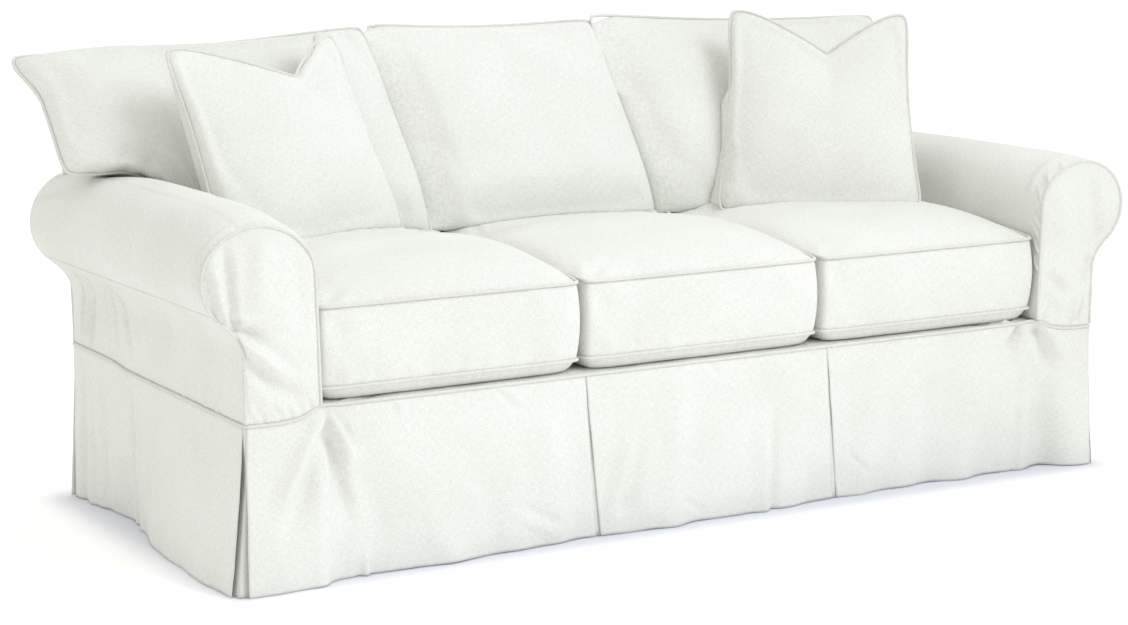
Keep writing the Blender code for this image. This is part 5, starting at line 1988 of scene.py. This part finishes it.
@dataclass
class ThrowPillow:
    """A square pillow, chopped in at the top so that its upper corners stand as ears."""

    name: str
    low_left: Vector
    low_right: Vector
    high_left: Vector
    high_right: Vector
    chop_at: float
    chop: float
    crown: float
    tuck: float = 0.0
    tuck_top: float = 0.34
    rear_share: float = 0.75
    rear_flank: float = 0.40
    chop_drift: float = 0.0  # how far the chop runs sideways on its way down the front
    flanks: tuple[float, float] = (1.45, 1.45)  # how hollow each side of the chop is
    waist: float = 0.018
    bow: float = 0.006  # how far the middle of its foot rises
    sink: float = 0.008
    columns: int = 44
    rows: int = 40
    flat: tuple[float, float] = (0.46, 0.43)
    settled: tuple[float, float, float] = (0.0, 0.0, 0.0)
    creases: Sequence[Crease] = ()

    def ways(self) -> tuple[Vector, Vector]:
        """The pillow's own ways across and up."""
        across = (self.low_right - self.low_left).normalized()
        return across, (self.high_left + self.high_right - self.low_left - self.low_right).normalized()

    def seam(self, u: float, v: float) -> Vector:
        """The surface that the seam lies in."""
        across, rise = self.ways()
        point = self.low_left.lerp(self.low_right, u).lerp(self.high_left.lerp(self.high_right, u), v)
        drawn = self.waist * hill(v, 2) * (2 * u - 1) ** 3
        middle = self.chop_at + self.chop_drift * (1 - smooth((v - 0.72) / 0.28))
        if u < middle:
            flank = (u / middle) ** self.flanks[0]
        else:
            flank = ((1 - u) / (1 - middle)) ** self.flanks[1]
        chop = self.chop * flank * smooth((v - 0.35) / 0.65) + self.sink * (1 - v)
        bow = self.bow * hill(u, 2) * (1 - v) ** 3
        tuck = self.tuck * (1 - u) ** 2 * (1 - smooth(v / self.tuck_top))
        return point + across * (tuck - drawn) + rise * (bow - chop)

    def cover(self) -> KnifeEdge:
        """The pillow's cover, with its sizes worked out."""
        across, rise = self.ways()
        normal = across.cross(rise).normalized()

        def dome(u: float, v: float) -> tuple[float, float]:
            """How far the front and the rear stand out."""
            plump = swell(u, 0.42, 0.42) * swell(v, 0.40, 0.42) * (1 + 0.14 * math.cos(math.pi * v))
            behind = swell(u, self.rear_flank, 0.40) * swell(v, 0.30, 0.42)
            dent = 1 - 0.25 * smooth((v - 0.55) / 0.45) * hill(u, 2)
            return self.crown * plump * dent, self.crown * self.rear_share * behind

        return KnifeEdge(
            f"throw_pillow_{self.name}",
            f"pillow_welt_{self.name}",
            self.columns,
            self.rows,
            self.seam,
            dome,
            normal,
            self.flat,
            slack=0.045,
            pressure=2.6,
            most=0.010,
            fill=0.75,
            creases=self.creases,
            shift=Vector(self.settled),
        )


@dataclass
class Studio:
    """White paper, soft daylight and a camera at about eye level of someone seated."""

    eye: tuple[float, float, float] = (-2.858 + 0.026, -4.625, 1.318)
    turn: float = -0.54159
    dip: float = 0.17390
    lens: float = 83.31
    sensor: float = 36.0
    sight: float = 200.0  # how far the camera sees
    floor_size: float = 60.0
    window_at: tuple[float, float, float] = (1.10, -2.80, 3.30)
    window_size: float = 2.2
    window_power: float = 18.5
    window_spread: float = 85.0
    window_colour: str = "#F0F4FF"
    aimed_at: tuple[float, float, float] = (-0.65, -0.20, 0.40)
    daylight: float = 0.79
    daylight_colour: str = "#FFFFFC"
    brighter: float = 0.25  # towards the bright side, and as much darker away from it
    bright_side: tuple[float, float, float] = (0.00, 0.40, 1.00)

    def camera(self) -> None:
        """Sets the camera."""
        data = bpy.data.cameras.new("camera")
        data.lens, data.sensor_width = self.lens, self.sensor
        data.clip_end = self.sight
        camera = bpy.data.objects.new("camera", data)
        camera.location = self.eye
        camera.rotation_euler = (math.pi / 2 - self.dip, 0.0, self.turn)
        bpy.context.scene.collection.objects.link(camera)
        bpy.context.scene.camera = camera

    def floor(self) -> None:
        """Lays the paper."""
        shape = bmesh.new()
        bmesh.ops.create_grid(shape, x_segments=1, y_segments=1, size=self.floor_size / 2)
        paper = new_object("studio_floor", shape)
        StudioPaper().dress(paper)

    def window(self) -> None:
        """Stands a soft panel light in front, to the right."""
        data = bpy.data.lights.new("window", "AREA")
        data.energy, data.size = self.window_power, self.window_size
        data.spread = math.radians(self.window_spread)
        data.color = linear(self.window_colour)[:3]
        window = bpy.data.objects.new("window", data)
        window.location = self.window_at
        towards = Vector(self.aimed_at) - Vector(self.window_at)
        window.rotation_euler = towards.to_track_quat("-Z", "Y").to_euler()
        bpy.context.scene.collection.objects.link(window)

    def daylight_all_round(self) -> None:
        """Lights the room evenly, a little brighter from above and behind."""
        world = bpy.data.worlds.new("studio")
        world.use_nodes = True
        tree = world.node_tree
        sky = tree.nodes["Background"]
        sky.inputs["Color"].default_value = linear(self.daylight_colour)
        way = add_node(tree, "ShaderNodeTexCoord", {}, {})
        facing = add_node(
            tree,
            "ShaderNodeVectorMath",
            {"operation": "DOT_PRODUCT", 1: self.bright_side},
            {0: way.outputs["Generated"]},
        )
        level = add_node(
            tree,
            "ShaderNodeMath",
            {"operation": "MULTIPLY_ADD", 1: self.brighter, 2: self.daylight},
            {0: facing.outputs["Value"]},
        )
        tree.links.new(level.outputs["Value"], sky.inputs["Strength"])
        bpy.context.scene.world = world

    def build(self) -> None:
        """Sets up the whole studio."""
        self.camera()
        self.floor()
        self.window()
        self.daylight_all_round()
        bpy.context.scene.view_settings.view_transform = "Standard"


def main() -> None:
    """Builds the studio and every piece of the cover, in order."""
    logging.basicConfig(level=logging.INFO, format="%(message)s")
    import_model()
    Studio().build()
    Skirt().build()
    DeckAndBack().build()
    ArmCover(Side.LEFT, LEFT_ROLL_CREASES, LEFT_OUTSIDE_CREASES, LEFT_SCROLL_CREASES).build()
    ArmCover(Side.RIGHT, RIGHT_ROLL_CREASES, RIGHT_OUTSIDE_CREASES, RIGHT_SCROLL_CREASES).build()
    cloths = bpy.data.objects
    arms = [cloths["cloth_arm_left"], cloths["cloth_arm_right"]]
    seats = [
        SeatCushion("left", -1),
        SeatCushion("middle", 0, crown=0.046),
        SeatCushion("right", 1, crown=0.037),
    ]
    backs = [
        BackCushion(
            "left",
            Vector((-1.083, 0.140, 0.547)),
            Vector((-0.312, 0.135, 0.547)),
            Vector((-1.100, 0.376, 0.918)),
            Vector((-0.385, 0.315, 0.958)),
            ear_x=0.846,
            ear_side=-1,
            settled=(0.0, -0.0074, 0.0050),
            creases=LEFT_BACK_CREASES,
        ).cover(),
        BackCushion(
            "middle",
            Vector((-0.297, 0.135, 0.547)),
            Vector((0.258, 0.135, 0.547)),
            Vector((-0.368, 0.315, 0.962)),
            Vector((0.192, 0.315, 0.956)),
            front=0.088,
            settled=(0.0, 0.0157, 0.0019),
            creases=MIDDLE_BACK_CREASES,
        ).cover(),
        BackCushion(
            "right",
            Vector((0.273, 0.135, 0.547)),
            Vector((0.980, 0.140, 0.547)),
            Vector((0.180, 0.330, 0.965)),
            Vector((0.985, 0.345, 0.936)),
            ear_x=0.840,
            ear_side=1,
            ear_lift=0.150,
            settled=(0.0, -0.0005, 0.0035),
            creases=RIGHT_BACK_CREASES,
        ).cover(),
    ]
    pillows = [
        ThrowPillow(
            "left",
            Vector((-0.872, 0.000, 0.562)),
            Vector((-0.427, 0.082, 0.576)),
            Vector((-0.921, 0.150, 0.956)),
            Vector((-0.518, 0.222, 0.968)),
            chop_at=0.69,
            chop=0.088,
            flanks=(1.30, 1.6),
            crown=0.064,
            tuck=0.045,
            rear_share=1.1,
            rear_flank=0.17,
            chop_drift=0.08,
            settled=(0.0, -0.0480, -0.0054),
            creases=LEFT_PILLOW_CREASES,
        ).cover(),
        ThrowPillow(
            "right",
            Vector((0.352, 0.086, 0.534)),
            Vector((0.753, -0.136, 0.534)),
            Vector((0.461, 0.205, 0.966)),
            Vector((0.811, 0.005, 0.956)),
            chop_at=6 / 11,
            chop=0.103,
            crown=0.066,
            rear_share=0.50,
            settled=(0.0, -0.0199, 0.0158),
            creases=RIGHT_PILLOW_CREASES,
        ).cover(),
    ]
    blow_up([cover.build() for cover in (*seats, *backs, *pillows)])
    propped: list[bpy.types.Object] = []
    for cover in (*backs, *pillows):
        cover.finish(arms + [cloths["cloth_inside_back"]] + propped)
        propped.append(cover.piece)
    laid: list[bpy.types.Object] = []
    for seat in seats:
        seat.finish(arms + laid + propped)
        laid.append(seat.piece)


if __name__ == "__main__":
    main()
